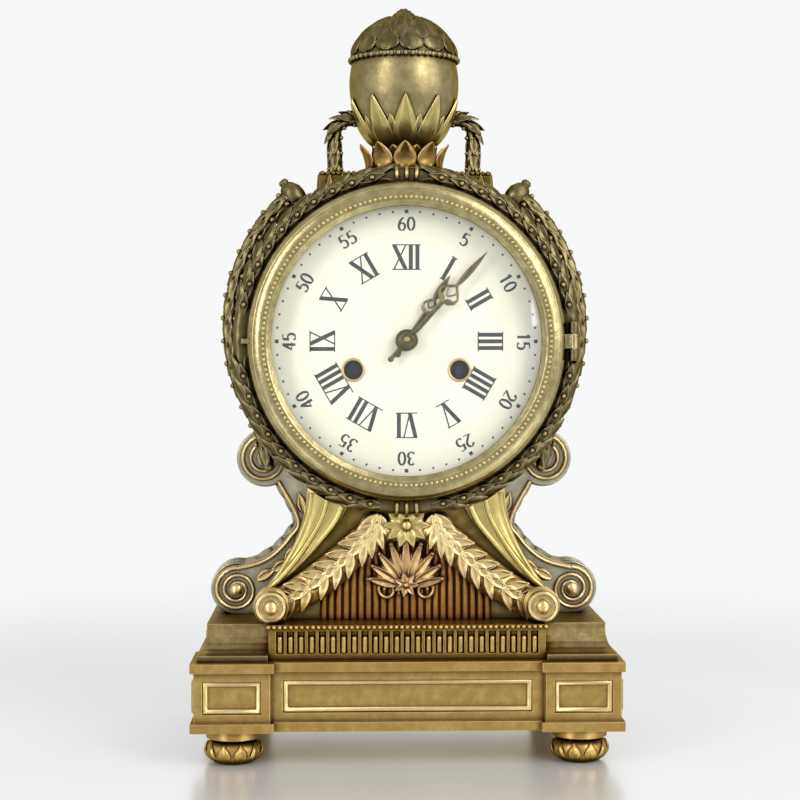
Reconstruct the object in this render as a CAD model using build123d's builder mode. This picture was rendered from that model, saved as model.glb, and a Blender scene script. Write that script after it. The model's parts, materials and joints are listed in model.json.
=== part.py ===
from build123d import *

import math
import os

# A gilt-bronze pendulette: a round striking clock on a waisted pedestal, with an urn on top.
# Millimetres, +Z up, the dial faces -Y. The origin is on the surface it stands on, under its middle.
# Places on the movement are (x, z) pairs counted from the centre of the dial.

os.makedirs("parts", exist_ok=True)

# Feet and plinth
FOOT_HEIGHT = 12.0
FOOT_RADIUS = 9.4
FOOT_SOLE_RADIUS = 5.0
PLINTH_WIDTH = 146.0
PLINTH_DEPTH = 96.0
PLINTH_HEIGHT = 23.3
PLINTH_WALL = 5.0
CORNER_WIDTH = 28.0
CORNER_DEPTH = 26.0
CORNER_STEP = 3.0
BAND_HEIGHT = 3.2
BAND_STEP = 1.2
PANEL_MARGIN = 3.0
PANEL_RECESS = 1.2
BASE_PLATE_THICKNESS = 1.5

# Stepped tier on the plinth, with a fluted frieze at its front
TIER_HEIGHT = 11.0
TIER_SETBACK = 4.5
TIER_SIDE_SETBACK = 2.0
TIER_SIDE_SLOPE = 2.6
TIER_FRONT_SLOPE = 12.0
TIER_LIP = 2.0
FRIEZE_WIDTH = 94.0
FRIEZE_HEIGHT = 11.6
FRIEZE_PROJECTION = 8.0
FLUTE_COUNT = 25
FLUTE_RADIUS = 1.3
FLUTE_LIP = 2.0

# Pedestal housing, its legs and its side consoles
PEDESTAL_RISE = 41.7
PEDESTAL_FRONT = -21.0
PEDESTAL_REAR = 31.0
PEDESTAL_FOOT = 44.0
PEDESTAL_WAIST = 31.0
PEDESTAL_SHOULDER = 34.0
PEDESTAL_WALL = 3.0
PEDESTAL_DOORWAY = 46.0
LEG_THICKNESS = 9.0
LEG_FOOT_RADIUS = 5.6
LEG_FOOT_LENGTH = 17.0
LEG_SPREAD = 52.0
LEG_SAG = 2.0
ARCH_HALF_WIDTH = 31.0
CONSOLE_FRONT = -8.0
CONSOLE_DEPTH = 22.0
CONSOLE_BAND = 7.4
CONSOLE_SAG = 3.8
UPPER_VOLUTE_RADIUS = 9.4
UPPER_VOLUTE_ANGLE = -40.0
LOWER_VOLUTE_RADIUS = 8.6
LOWER_VOLUTE_X = 59.6
VOLUTE_EYE_RADIUS = 2.6
VOLUTE_EYE_RISE = 1.0
PALMETTE_WIDTH = 20.0
PALMETTE_HEIGHT = 21.0
PALMETTE_THICKNESS = 4.0
CLASP_RADIUS = 5.0

# Drum, its rings and its dial
DRUM_RADIUS = 55.0
DRUM_WALL = 1.6
DRUM_FRONT = -26.0
DRUM_DEPTH = 60.0
SLOT_WIDTH = 24.0
SLOT_DEPTH = 12.0
RING_OVERHANG = 4.5
RING_THICKNESS = 5.2
RING_SEAT_DEPTH = 3.3
DIAL_RADIUS = 50.2
DIAL_THICKNESS = 1.6
DIAL_DOME = 0.5
DIAL_PLATE_THICKNESS = 0.8
DIAL_HOLE = 3.1
WINDING_HOLE = 3.7
DIAL_FOOT_RADIUS = 1.2
REAR_RING_THICKNESS = 2.0
REAR_RING_BORE = 46.0
REAR_SPIGOT = 5.0
SEAT_GAP = 0.1
FACE_GAP = 0.3

# Hinged bezel and rear door
BEZEL_OPENING = 46.0
BEZEL_RADIUS = 54.8
BEZEL_THICKNESS = 5.4
GLASS_THICKNESS = 1.5
GLASS_RISE = 5.1
GLASS_EDGE = 0.9
DOOR_RADIUS = 51.5
DOOR_THICKNESS = 1.6
DOOR_KNOB_RADIUS = 3.0
DOOR_KNOB_LENGTH = 6.0
DOOR_KNOB_INSET = 10.0
DOOR_RIM_INSET = 2.0
DOOR_RIM_WIDTH = 4.0
DOOR_RIM_THICKNESS = 0.8
BEZEL_HINGE_OFFSET = 2.2
DOOR_HINGE_OFFSET = 2.4
HINGE_ARM_OVERLAP = 1.2
KNUCKLE_RADIUS = 1.5
KNUCKLE_HALF = 2.4
KNUCKLE_LUG = 4.0
KNUCKLE_GAP = 0.2
HINGE_PIN_RADIUS = 0.6
PIN_CLEARANCE = 0.05

# Laurel garlands on the drum
GARLAND_Y = -14.5
GARLAND_RADIUS = 2.8
GARLAND_RISE = 5.0
GARLAND_TOP = 127.5
GARLAND_END = 204.0
GARLAND_DROP = 20.0
BOSS_RADIUS = 4.2
BOSS_RISE = 7.3
BOSS_TAPER = 12.0

# Urn
URN_BASE_WIDTH = 60.0
URN_BASE_DEPTH = 34.0
URN_BASE_RISE = 4.0
URN_FOOT_RADIUS = 15.5
URN_STEM_RADIUS = 8.5
URN_STEM_HEIGHT = 9.5
URN_RADIUS = 19.4
URN_BODY_HEIGHT = 42.0
URN_LID_HEIGHT = 18.0
URN_RIM = 1.0
SWAG_RADIUS = 2.3
SWAG_REACH = 24.6
SWAG_TOP = 20.5

# Movement frame
PLATE_RADIUS = 44.0
PLATE_THICKNESS = 2.0
PLATE_GAP = 28.0
FRONT_PLATE = -16.5
PILLAR_RADIUS = 2.6
PILLAR_CIRCLE_RADIUS = 40.5
PILLAR_ANGLES = (45.0, 140.0, 222.0, 318.0)
DIAL_FOOT_ANGLES = (90.0, 195.0, 345.0)
ARBOR_RADIUS = 0.95
PIVOT_RADIUS = 0.6
PIVOT_CLEARANCE = 0.05
END_SHAKE = 0.3

# Gear teeth, as shares of the module or of the pitch
ADDENDUM = 0.75
DEDENDUM = 1.15
TOOTH_TIP = 0.20
TOOTH_ROOT = 0.50
WHEEL_THICKNESS = 1.4
PINION_OVERHANG = 0.8
HUB_RADIUS = 2.6
RIM_SHARE = 0.82
SPOKE_WIDTH = 2.0

# Depths of the wheels inside the plates
FAST_DEPTH = 1.0
BARREL_DEPTH = 4.0
GREAT_DEPTH = 7.0
CENTRE_DEPTH = 3.5
THIRD_DEPTH = 8.5
ESCAPE_DEPTH = 8.5
LOCKING_DEPTH = 14.5

# Going and striking trains
WINDING_X = 18.2
WINDING_DROP = 9.8
GREAT_TEETH = 76
GREAT_MODULE = 0.45
GREAT_THICKNESS = 2.0
BARREL_RADIUS = 15.5
BARREL_WALL = 1.0
BARREL_ARBOR_RADIUS = 1.5
BARREL_CORE_RADIUS = 4.5
WINDING_SQUARE = 2.8
RATCHET_RADIUS = 6.5
RATCHET_TEETH = 20
RATCHET_DEPTH = 0.8
RATCHET_THICKNESS = 1.2
SECOND_PINION_TEETH = 10
SECOND_TEETH = 64
CENTRE_PINION_TEETH = 10
CENTRE_TEETH = 64
THIRD_PINION_TEETH = 8
THIRD_TEETH = 60
ESCAPE_PINION_TEETH = 8
ESCAPE_TEETH = 30
ESCAPE_RADIUS = 8.3
TRAIN_MODULE = 0.40
FINE_MODULE = 0.36
THIRD_ANGLE = 110.0
PIN_WHEEL_ANGLE = 105.0
PIN_WHEEL_TEETH = 60
PIN_COUNT = 10
LOCKING_ANGLE = 70.0
LOCKING_PINION_TEETH = 8
LOCKING_TEETH = 54
FLY_ANGLE = 60.0
FLY_PINION_TEETH = 8
FLY_RADIUS = 5.6
SPRING_TURNS = 7
SPRING_THICKNESS = 0.4

# Motion work and hands
CANNON_TEETH = 12
MINUTE_TEETH = 36
MINUTE_PINION_TEETH = 10
HOUR_TEETH = 40
CANNON_PIPE = 1.6
HOUR_PIPE = 2.4
PIPE_WALL = 0.5
MOTION_THICKNESS = 1.0
HAND_THICKNESS = 0.6
HOUR_HAND = 27.0
MINUTE_HAND = 41.0
MINUTE_ANGLE = 42.0
HOUR_ANGLE = 33.5

# Escapement, pendulum, hammer and bell
ANCHOR_RISE = 11.3
COCK_THICKNESS = 1.6
COCK_STANDOFF = 3.5
PENDULUM_Y = 20.3
ROD_RADIUS = 0.9
BOB_RADIUS = 11.5
BOB_THICKNESS = 7.0
BOB_DROP = 113.0
NUT_RADIUS = 3.0
NUT_HEIGHT = 2.5
SPRING_STRIP = 0.3
BELL_RADIUS = 30.0
BELL_RIM = 24.0
BELL_DEPTH = 9.0
BELL_WALL = 1.2
BELL_POST_X = 12.0
BELL_POST_RADIUS = 1.8
HAMMER_AT = (-36.0, 3.0)
HAMMER_HEAD_AT = (-29.5, 21.5)
HAMMER_HEAD_RADIUS = 3.0

# Levels that follow from the sizes above
TIER_Z = FOOT_HEIGHT + PLINTH_HEIGHT
PEDESTAL_Z = TIER_Z + TIER_HEIGHT
DRUM_Z = PEDESTAL_Z + PEDESTAL_RISE + DRUM_RADIUS
DRUM_REAR = DRUM_FRONT + DRUM_DEPTH
RING_RADIUS = DRUM_RADIUS + RING_OVERHANG
BACK_PLATE = FRONT_PLATE + PLATE_GAP
BACK_FACE = BACK_PLATE + PLATE_THICKNESS
FRONT_FACE = FRONT_PLATE - PLATE_THICKNESS
RING_FACE = DRUM_FRONT - RING_THICKNESS
DIAL_SEAT = DRUM_FRONT + 0.2
DIAL_BACK = DIAL_SEAT - DIAL_PLATE_THICKNESS
DIAL_FACE = DIAL_BACK - DIAL_THICKNESS
DRUM_AXIS = Axis((0, 0, DRUM_Z), (0, 1, 0))


def front_plane(x, y, z, clockwise=0):
    """A plane that faces the front through a point: local x is X and local y is Z, turned clockwise."""
    turn = math.radians(clockwise)
    return Plane(origin=(x, y, z), x_dir=(math.cos(turn), 0, -math.sin(turn)), z_dir=(0, -1, 0))


def dial_plane(y, at=(0, 0), clockwise=0):
    """The plane that faces the front at y, with its origin at a place on the movement."""
    return front_plane(at[0], y, DRUM_Z + at[1], clockwise)


def polar(radius, angle):
    """A place on the movement, by radius and by angle from +X towards +Z."""
    return (radius * math.cos(math.radians(angle)), radius * math.sin(math.radians(angle)))


def shifted(at, radius, angle):
    """The place a given distance and direction away from another."""
    step = polar(radius, angle)
    return (at[0] + step[0], at[1] + step[1])


def heading(start, end):
    """The angle of the line from one place to another, in degrees."""
    return math.degrees(math.atan2(end[1] - start[1], end[0] - start[0]))


def meeting_point(first, first_radius, second, second_radius):
    """Where two circles cross, on the left of the line from the first centre to the second."""
    span = math.dist(first, second)
    along = (first_radius**2 - second_radius**2 + span**2) / (2 * span)
    across = math.sqrt(first_radius**2 - along**2)
    foot = shifted(first, along, heading(first, second))
    return shifted(foot, across, heading(first, second) - 90)


def mesh_distance(module, teeth, leaves):
    """The distance between the arbors of a wheel and a pinion in mesh."""
    return module * (teeth + leaves) / 2


def dome_point(edge_radius, rise):
    """The point halfway along a dome's arc from its edge to its crown: radius, and height over the edge."""
    sphere = (edge_radius**2 + rise**2) / (2 * rise)
    radius = edge_radius / 2
    return radius, rise - sphere + math.sqrt(sphere**2 - radius**2)


def rod(at, radius, front, rear, mode=Mode.ADD):
    """A round bar along Y at a place on the movement."""
    with Locations((at[0], (front + rear) / 2, DRUM_Z + at[1])):
        Cylinder(radius, rear - front, rotation=(90, 0, 0), mode=mode)


def pin(x, y, radius, low, high, mode=Mode.ADD):
    """A round bar along Z."""
    with Locations((x, y, (low + high) / 2)):
        Cylinder(radius, high - low, mode=mode)


def block(x, y, z, mode=Mode.ADD):
    """A box between two limits on each axis, each given as a (low, high) pair."""
    with Locations(((x[0] + x[1]) / 2, (y[0] + y[1]) / 2, (z[0] + z[1]) / 2)):
        Box(x[1] - x[0], y[1] - y[0], z[1] - z[0], mode=mode)


def save(part, name):
    """Labels a finished piece and writes it under the same name."""
    part.label = name
    export_step(part, f"parts/{name}.step")


class Gear(BaseSketchObject):
    """A toothed disc with slim straight-sided teeth, with a tooth or a gap centred on an angle."""

    def __init__(self, teeth, module, angle, gap=False, mode=Mode.ADD):
        pitch = 360 / teeth
        tip = module * (teeth / 2 + ADDENDUM)
        root = module * (teeth / 2 - DEDENDUM)
        start = angle + (pitch / 2 if gap else 0)
        points = []
        for tooth in range(teeth):
            middle = start + tooth * pitch
            points.append(polar(root, middle - pitch * TOOTH_ROOT / 2))
            points.append(polar(tip, middle - pitch * TOOTH_TIP / 2))
            points.append(polar(tip, middle + pitch * TOOTH_TIP / 2))
            points.append(polar(root, middle + pitch * TOOTH_ROOT / 2))
        with BuildSketch(mode=Mode.PRIVATE) as outline:
            with BuildLine():
                Polyline(*points, close=True)
            make_face()
        super().__init__(outline.sketch, 0, None, mode)


class HookedDisc(BaseSketchObject):
    """A disc of saw-like teeth, as on a ratchet or an escape wheel."""

    def __init__(self, teeth, radius, depth, undercut, mode=Mode.ADD):
        pitch = 360 / teeth
        points = []
        for tooth in range(teeth):
            points.append(polar(radius, tooth * pitch))
            points.append(polar(radius - depth, tooth * pitch + undercut))
        with BuildSketch(mode=Mode.PRIVATE) as outline:
            with BuildLine():
                Polyline(*points, close=True)
            make_face()
        super().__init__(outline.sketch, 0, None, mode)


class Crossings(BaseSketchObject):
    """The windows between a wheel's rim, hub and four spokes."""

    def __init__(self, rim, hub, mode=Mode.ADD):
        with BuildSketch(mode=Mode.PRIVATE) as windows:
            Circle(rim)
            Circle(hub, mode=Mode.SUBTRACT)
            Rectangle(2 * rim, SPOKE_WIDTH, mode=Mode.SUBTRACT)
            Rectangle(SPOKE_WIDTH, 2 * rim, mode=Mode.SUBTRACT)
        super().__init__(windows.sketch, 0, None, mode)


def train_wheel(at, wheel, pinion):
    """A crossed wheel and a pinion on one arbor that pivots in both plates.

    wheel is (teeth, module, y of its front, angle of a tooth), and pinion is
    (leaves, module, middle y, length, angle of a gap).
    """
    teeth, module, wheel_front, tooth_angle = wheel
    leaves, pinion_module, middle, length, gap_angle = pinion
    wheel_rear = wheel_front + WHEEL_THICKNESS
    with BuildPart() as piece:
        with BuildSketch(dial_plane(wheel_rear, at)):
            Gear(teeth, module, tooth_angle)
            Crossings(RIM_SHARE * module * teeth / 2, HUB_RADIUS, mode=Mode.SUBTRACT)
        extrude(amount=WHEEL_THICKNESS)
        with BuildSketch(dial_plane(middle + length / 2, at)):
            Gear(leaves, pinion_module, gap_angle, gap=True)
        extrude(amount=length)
        rod(at, ARBOR_RADIUS, FRONT_PLATE + END_SHAKE, BACK_PLATE - END_SHAKE)
        rod(at, PIVOT_RADIUS, FRONT_FACE, BACK_FACE)
    return piece.part


# Feet: four turned feet under the corner blocks
foot_x = PLINTH_WIDTH / 2 - CORNER_WIDTH / 2
foot_y = PLINTH_DEPTH / 2 - CORNER_DEPTH / 2
with BuildPart() as foot:
    with BuildSketch(Plane.XZ):
        with BuildLine():
            neck_z = FOOT_HEIGHT * 0.72
            collar = FOOT_RADIUS * 0.62
            Polyline((0, FOOT_HEIGHT), (0, 0), (FOOT_SOLE_RADIUS, 0))
            ThreePointArc((FOOT_SOLE_RADIUS, 0), (FOOT_RADIUS, neck_z * 0.55), (collar, neck_z))
            Polyline((collar, neck_z), (FOOT_RADIUS, neck_z), (FOOT_RADIUS, FOOT_HEIGHT), (0, FOOT_HEIGHT))
        make_face()
    revolve(axis=Axis.Z)

with BuildPart() as feet:
    with GridLocations(2 * foot_x, 2 * foot_y, 2, 2):
        add(foot.part)
save(feet.part, "feet")


class PlinthOutline(BaseSketchObject):
    """The plinth's plan: a rectangle with four corner blocks standing proud of it, drawn in by a step."""

    def __init__(self, inset, mode=Mode.ADD):
        corner_x = PLINTH_WIDTH - CORNER_WIDTH
        corner_y = PLINTH_DEPTH - CORNER_DEPTH
        with BuildSketch(mode=Mode.PRIVATE) as plan:
            Rectangle(
                PLINTH_WIDTH - 2 * (CORNER_STEP + inset), PLINTH_DEPTH - 2 * (CORNER_STEP + inset)
            )
            with GridLocations(corner_x, corner_y, 2, 2):
                Rectangle(CORNER_WIDTH - 2 * inset, CORNER_DEPTH - 2 * inset)
        super().__init__(plan.sketch, 0, None, mode)


# Plinth: a hollow casting with a band at its foot and head and sunk panels between
panel_height = PLINTH_HEIGHT - 2 * BAND_HEIGHT - 2 * PANEL_MARGIN
frieze_panel = PLINTH_WIDTH - 2 * CORNER_WIDTH - 2 * PANEL_MARGIN
corner_panel = CORNER_WIDTH - 2 * BAND_STEP - 2 * PANEL_MARGIN
panel_z = FOOT_HEIGHT + PLINTH_HEIGHT / 2
cavity_x = PLINTH_WIDTH - 2 * (CORNER_STEP + BAND_STEP + PLINTH_WALL)
cavity_y = PLINTH_DEPTH - 2 * (CORNER_STEP + BAND_STEP + PLINTH_WALL)
with BuildPart() as base_plinth:
    with BuildSketch(Plane.XY.offset(FOOT_HEIGHT)):
        PlinthOutline(0)
    extrude(amount=BAND_HEIGHT)
    with BuildSketch(Plane.XY.offset(FOOT_HEIGHT + BAND_HEIGHT)):
        PlinthOutline(BAND_STEP)
    extrude(amount=PLINTH_HEIGHT - 2 * BAND_HEIGHT)
    with BuildSketch(Plane.XY.offset(TIER_Z - BAND_HEIGHT)):
        PlinthOutline(0)
    extrude(amount=BAND_HEIGHT)
    with Locations((0, 0, FOOT_HEIGHT)):
        Box(
            cavity_x,
            cavity_y,
            PLINTH_HEIGHT - PLINTH_WALL,
            align=(Align.CENTER, Align.CENTER, Align.MIN),
            mode=Mode.SUBTRACT,
        )
    with GridLocations(0, PLINTH_DEPTH - 2 * (CORNER_STEP + BAND_STEP), 1, 2):
        with Locations((0, 0, panel_z)):
            Box(frieze_panel, 2 * PANEL_RECESS, panel_height, mode=Mode.SUBTRACT)
    with GridLocations(2 * foot_x, PLINTH_DEPTH - 2 * BAND_STEP, 2, 2):
        with Locations((0, 0, panel_z)):
            Box(corner_panel, 2 * PANEL_RECESS, panel_height, mode=Mode.SUBTRACT)
save(base_plinth.part, "base_plinth")

# Base plate: a sheet that closes the plinth's underside
with BuildPart() as base_plate:
    with BuildSketch(Plane.XY.offset(FOOT_HEIGHT)):
        Rectangle(cavity_x - 2 * SEAT_GAP, cavity_y - 2 * SEAT_GAP)
    extrude(amount=BASE_PLATE_THICKNESS)
save(base_plate.part, "base_plate")

# Tier: a hollowed slope from the plinth up to a smaller flat top, made through sections along a cove
tier_half_width = PLINTH_WIDTH / 2 - TIER_SIDE_SETBACK
tier_half_depth = PLINTH_DEPTH / 2 - TIER_SETBACK
COVE_STEPS = 5


def tier_section(z, share):
    """The tier's plan at a height, where share runs from 0 at its foot to 1 at its top."""
    half_width = tier_half_width - share * TIER_SIDE_SLOPE
    front = -tier_half_depth + share * TIER_FRONT_SLOPE
    rear = tier_half_depth - share * TIER_SIDE_SLOPE
    with BuildSketch(Plane.XY.offset(z)) as plan:
        with Locations((0, (front + rear) / 2)):
            Rectangle(2 * half_width, rear - front)
    return plan.sketch.face()


tier_top_front = -tier_half_depth + TIER_FRONT_SLOPE
with BuildPart() as upper_plinth:
    cove_height = TIER_HEIGHT - 2 * TIER_LIP
    sections = [tier_section(TIER_Z, 0)]
    for step in range(COVE_STEPS + 1):
        turn = math.radians(90 * step / COVE_STEPS)
        sections.append(tier_section(TIER_Z + TIER_LIP + cove_height * (1 - math.cos(turn)), math.sin(turn)))
    sections.append(tier_section(PEDESTAL_Z, 1))
    loft(sections, ruled=True)
    block(
        (-FRIEZE_WIDTH / 2 - SEAT_GAP, FRIEZE_WIDTH / 2 + SEAT_GAP),
        (-PLINTH_DEPTH / 2, tier_top_front),
        (TIER_Z, PEDESTAL_Z),
        mode=Mode.SUBTRACT,
    )
save(upper_plinth.part, "upper_plinth")

# Fluted frieze: a block let into the front of the tier, with upright hollows between two lips
frieze_front = tier_top_front - FRIEZE_PROJECTION
frieze_top = TIER_Z + FRIEZE_HEIGHT
with BuildPart() as fluted_frieze:
    block(
        (-FRIEZE_WIDTH / 2, FRIEZE_WIDTH / 2), (frieze_front, tier_top_front), (TIER_Z, frieze_top)
    )
    flute_pitch = (FRIEZE_WIDTH - 2 * FLUTE_LIP) / FLUTE_COUNT
    with BuildSketch(Plane.XY.offset(TIER_Z + FLUTE_LIP)):
        with Locations((0, frieze_front)):
            with GridLocations(flute_pitch, 1, FLUTE_COUNT, 1):
                Circle(FLUTE_RADIUS)
    extrude(amount=FRIEZE_HEIGHT - 2 * FLUTE_LIP, mode=Mode.SUBTRACT)
save(fluted_frieze.part, "fluted_frieze")

# Pedestal: a waisted housing for the pendulum, open at the top and at the back
waist_z = PEDESTAL_Z + PEDESTAL_RISE * 0.80
shoulder_z = PEDESTAL_Z + PEDESTAL_RISE * 1.24
flank_z = PEDESTAL_Z + PEDESTAL_RISE * 0.34
flank_x = PEDESTAL_WAIST + (PEDESTAL_FOOT - PEDESTAL_WAIST) * 0.36
skirt_z = PEDESTAL_Z + PEDESTAL_WALL


class PedestalFront(BaseSketchObject):
    """The pedestal's front outline, drawn in by a wall, between two heights."""

    def __init__(self, inset, low, mode=Mode.ADD):
        with BuildSketch(mode=Mode.PRIVATE) as outline:
            with BuildLine():
                skirt = PEDESTAL_FOOT - inset
                Polyline((0, low), (skirt, low), (skirt, skirt_z))
                ThreePointArc(
                    (skirt, skirt_z), (flank_x - inset, flank_z), (PEDESTAL_WAIST - inset, waist_z)
                )
                Polyline(
                    (PEDESTAL_WAIST - inset, waist_z),
                    (PEDESTAL_SHOULDER - inset, shoulder_z),
                    (0, shoulder_z),
                    (0, low),
                )
            make_face()
            mirror(about=Plane.YZ)
        super().__init__(outline.sketch, 0, None, mode)


with BuildPart() as pedestal:
    with BuildSketch(Plane.XZ.offset(-PEDESTAL_REAR)):
        PedestalFront(0, PEDESTAL_Z)
    extrude(amount=PEDESTAL_REAR - PEDESTAL_FRONT)
    with BuildSketch(Plane.XZ.offset(-(PEDESTAL_REAR - PEDESTAL_WALL))):
        PedestalFront(PEDESTAL_WALL, PEDESTAL_Z)
    extrude(amount=PEDESTAL_REAR - PEDESTAL_FRONT - 2 * PEDESTAL_WALL, mode=Mode.SUBTRACT)
    block(
        (-PEDESTAL_DOORWAY / 2, PEDESTAL_DOORWAY / 2),
        (PEDESTAL_REAR - 2 * PEDESTAL_WALL, PEDESTAL_REAR + PEDESTAL_WALL),
        (PEDESTAL_Z, waist_z),
        mode=Mode.SUBTRACT,
    )
    rod((0, 0), DRUM_RADIUS + SEAT_GAP, PEDESTAL_FRONT - 1, PEDESTAL_REAR + 1, mode=Mode.SUBTRACT)
save(pedestal.part, "pedestal")

# Front legs: two splayed leaf-shaped legs with rolled feet, leaving an arch between them
leg_front = PEDESTAL_FRONT - LEG_THICKNESS
ring_clear = RING_RADIUS + FACE_GAP
leg_inner_x = CLASP_RADIUS + 2
leg_inner_top = DRUM_Z - math.sqrt(ring_clear**2 - leg_inner_x**2)
leg_outer_top = DRUM_Z - math.sqrt(ring_clear**2 - PEDESTAL_SHOULDER**2)
leg_crown = polar(ring_clear, -70)
arch_top = PEDESTAL_Z + PEDESTAL_RISE * 0.72
with BuildPart() as leg_right:
    with BuildSketch(Plane.XZ.offset(-PEDESTAL_FRONT)):
        with BuildLine():
            ThreePointArc(
                (leg_inner_x, leg_inner_top),
                (leg_crown[0], DRUM_Z + leg_crown[1]),
                (PEDESTAL_SHOULDER, leg_outer_top),
            )
            SagittaArc(
                (PEDESTAL_SHOULDER, leg_outer_top),
                (LEG_SPREAD, frieze_top + LEG_FOOT_RADIUS),
                -LEG_SAG,
            )
            Polyline(
                (LEG_SPREAD, frieze_top + LEG_FOOT_RADIUS),
                (LEG_SPREAD, PEDESTAL_Z),
                (ARCH_HALF_WIDTH, PEDESTAL_Z),
                (ARCH_HALF_WIDTH, frieze_top + LEG_FOOT_RADIUS),
                (leg_inner_x, arch_top),
                (leg_inner_x, leg_inner_top),
            )
        make_face()
    extrude(amount=LEG_THICKNESS)
    with Locations((LEG_SPREAD - LEG_FOOT_RADIUS, PEDESTAL_FRONT, frieze_top + LEG_FOOT_RADIUS)):
        Cylinder(
            LEG_FOOT_RADIUS,
            LEG_FOOT_LENGTH,
            rotation=(90, 0, 0),
            align=(Align.CENTER, Align.CENTER, Align.MIN),
        )
    block(
        (0, PLINTH_WIDTH / 2),
        (frieze_front, tier_top_front),
        (PEDESTAL_Z - 1, frieze_top),
        mode=Mode.SUBTRACT,
    )
save(leg_right.part, "leg_right")
with BuildPart() as leg_left:
    mirror(leg_right.part, about=Plane.YZ)
save(leg_left.part, "leg_left")

# Side consoles: S-scrolls from the drum's flanks down to the tier, with a volute at each end
console_rear = CONSOLE_FRONT + CONSOLE_DEPTH
upper_volute = polar(DRUM_RADIUS + UPPER_VOLUTE_RADIUS + FACE_GAP, UPPER_VOLUTE_ANGLE)
upper_volute_z = DRUM_Z + upper_volute[1]
lower_volute_z = PEDESTAL_Z + LOWER_VOLUTE_RADIUS
with BuildPart() as scroll_right:
    with BuildSketch(Plane.XZ.offset(-console_rear)):
        with Locations((upper_volute[0], upper_volute_z)):
            Circle(UPPER_VOLUTE_RADIUS)
        with Locations((LOWER_VOLUTE_X, lower_volute_z)):
            Circle(LOWER_VOLUTE_RADIUS)
        with BuildLine():
            inner = SEAT_GAP
            Polyline(
                (upper_volute[0], upper_volute_z),
                (PEDESTAL_SHOULDER + inner, shoulder_z),
                (PEDESTAL_WAIST + inner, waist_z),
            )
            ThreePointArc(
                (PEDESTAL_WAIST + inner, waist_z),
                (flank_x + inner, flank_z),
                (PEDESTAL_FOOT + inner, skirt_z),
            )
            Polyline(
                (PEDESTAL_FOOT + inner, skirt_z),
                (PEDESTAL_FOOT + inner, PEDESTAL_Z),
                (LOWER_VOLUTE_X, PEDESTAL_Z),
                (LOWER_VOLUTE_X, lower_volute_z + LOWER_VOLUTE_RADIUS),
            )
            SagittaArc(
                (LOWER_VOLUTE_X, lower_volute_z + LOWER_VOLUTE_RADIUS),
                (PEDESTAL_WAIST + CONSOLE_BAND, waist_z),
                CONSOLE_SAG,
            )
            Line((PEDESTAL_WAIST + CONSOLE_BAND, waist_z), (upper_volute[0], upper_volute_z))
        make_face()
    extrude(amount=CONSOLE_DEPTH)
    for centre in ((upper_volute[0], upper_volute_z), (LOWER_VOLUTE_X, lower_volute_z)):
        with Locations((centre[0], (CONSOLE_FRONT + console_rear) / 2, centre[1])):
            Cylinder(VOLUTE_EYE_RADIUS, CONSOLE_DEPTH + 2 * VOLUTE_EYE_RISE, rotation=(90, 0, 0))
    rod((0, 0), DRUM_RADIUS + SEAT_GAP, CONSOLE_FRONT - 2, console_rear + 2, mode=Mode.SUBTRACT)
save(scroll_right.part, "scroll_right")
with BuildPart() as scroll_left:
    mirror(scroll_right.part, about=Plane.YZ)
save(scroll_left.part, "scroll_left")

# Palmette: a fan-shaped mount on the pedestal's front, with the rosette that clasps the two legs above it
clasp_z = (arch_top + DRUM_Z - ring_clear) / 2
clasp_radius = min(CLASP_RADIUS, DRUM_Z - ring_clear - clasp_z - SEAT_GAP)
palmette_z = arch_top + 1 - PALMETTE_HEIGHT / 2
with BuildPart() as palmette:
    with BuildSketch(front_plane(0, PEDESTAL_FRONT, palmette_z)):
        with BuildLine():
            half_width = PALMETTE_WIDTH / 2
            top = PALMETTE_HEIGHT / 2
            neck = (half_width * 0.45, -top * 0.72)
            crest = (half_width * 0.66, top * 0.7)
            Line((0, -top), neck)
            ThreePointArc(neck, (half_width, top * 0.1), crest)
            ThreePointArc(crest, (half_width * 0.3, top * 0.95), (0, top))
            Line((0, top), (0, -top))
        make_face()
        mirror(about=Plane.YZ)
    extrude(amount=PALMETTE_THICKNESS)
    fillet(palmette.faces().sort_by(Axis.Y)[0].edges(), PALMETTE_THICKNESS * 0.4)
    with BuildSketch(front_plane(0, PEDESTAL_FRONT, clasp_z)):
        Circle(clasp_radius)
    extrude(amount=LEG_THICKNESS)
    fillet(palmette.faces().sort_by(Axis.Y)[0].edges(), clasp_radius * 0.4)
save(palmette.part, "palmette")

# Drum: a tube, slotted underneath for the pendulum
with BuildPart() as drum_case:
    with BuildSketch(dial_plane(DRUM_REAR)):
        Circle(DRUM_RADIUS)
        Circle(DRUM_RADIUS - DRUM_WALL, mode=Mode.SUBTRACT)
    extrude(amount=DRUM_DEPTH)
    block(
        (-SLOT_WIDTH / 2, SLOT_WIDTH / 2),
        (PENDULUM_Y - SLOT_DEPTH / 2, PENDULUM_Y + SLOT_DEPTH / 2),
        (DRUM_Z - DRUM_RADIUS - 1, DRUM_Z - DRUM_RADIUS * 0.9),
        mode=Mode.SUBTRACT,
    )
save(drum_case.part, "drum_case")

# Hinges: each axis is upright, beside the drum, with two fixed knuckles around a moving one
bezel_rear = RING_FACE - FACE_GAP
bezel_front = bezel_rear - BEZEL_THICKNESS
bezel_axis = (BEZEL_RADIUS + BEZEL_HINGE_OFFSET, bezel_rear - KNUCKLE_RADIUS)
door_front = DRUM_REAR + REAR_RING_THICKNESS + SEAT_GAP
door_rear = door_front + DOOR_THICKNESS
door_axis = (-(DOOR_RADIUS + DOOR_HINGE_OFFSET), door_rear)
knuckle_end = KNUCKLE_HALF + KNUCKLE_GAP + KNUCKLE_LUG


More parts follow.
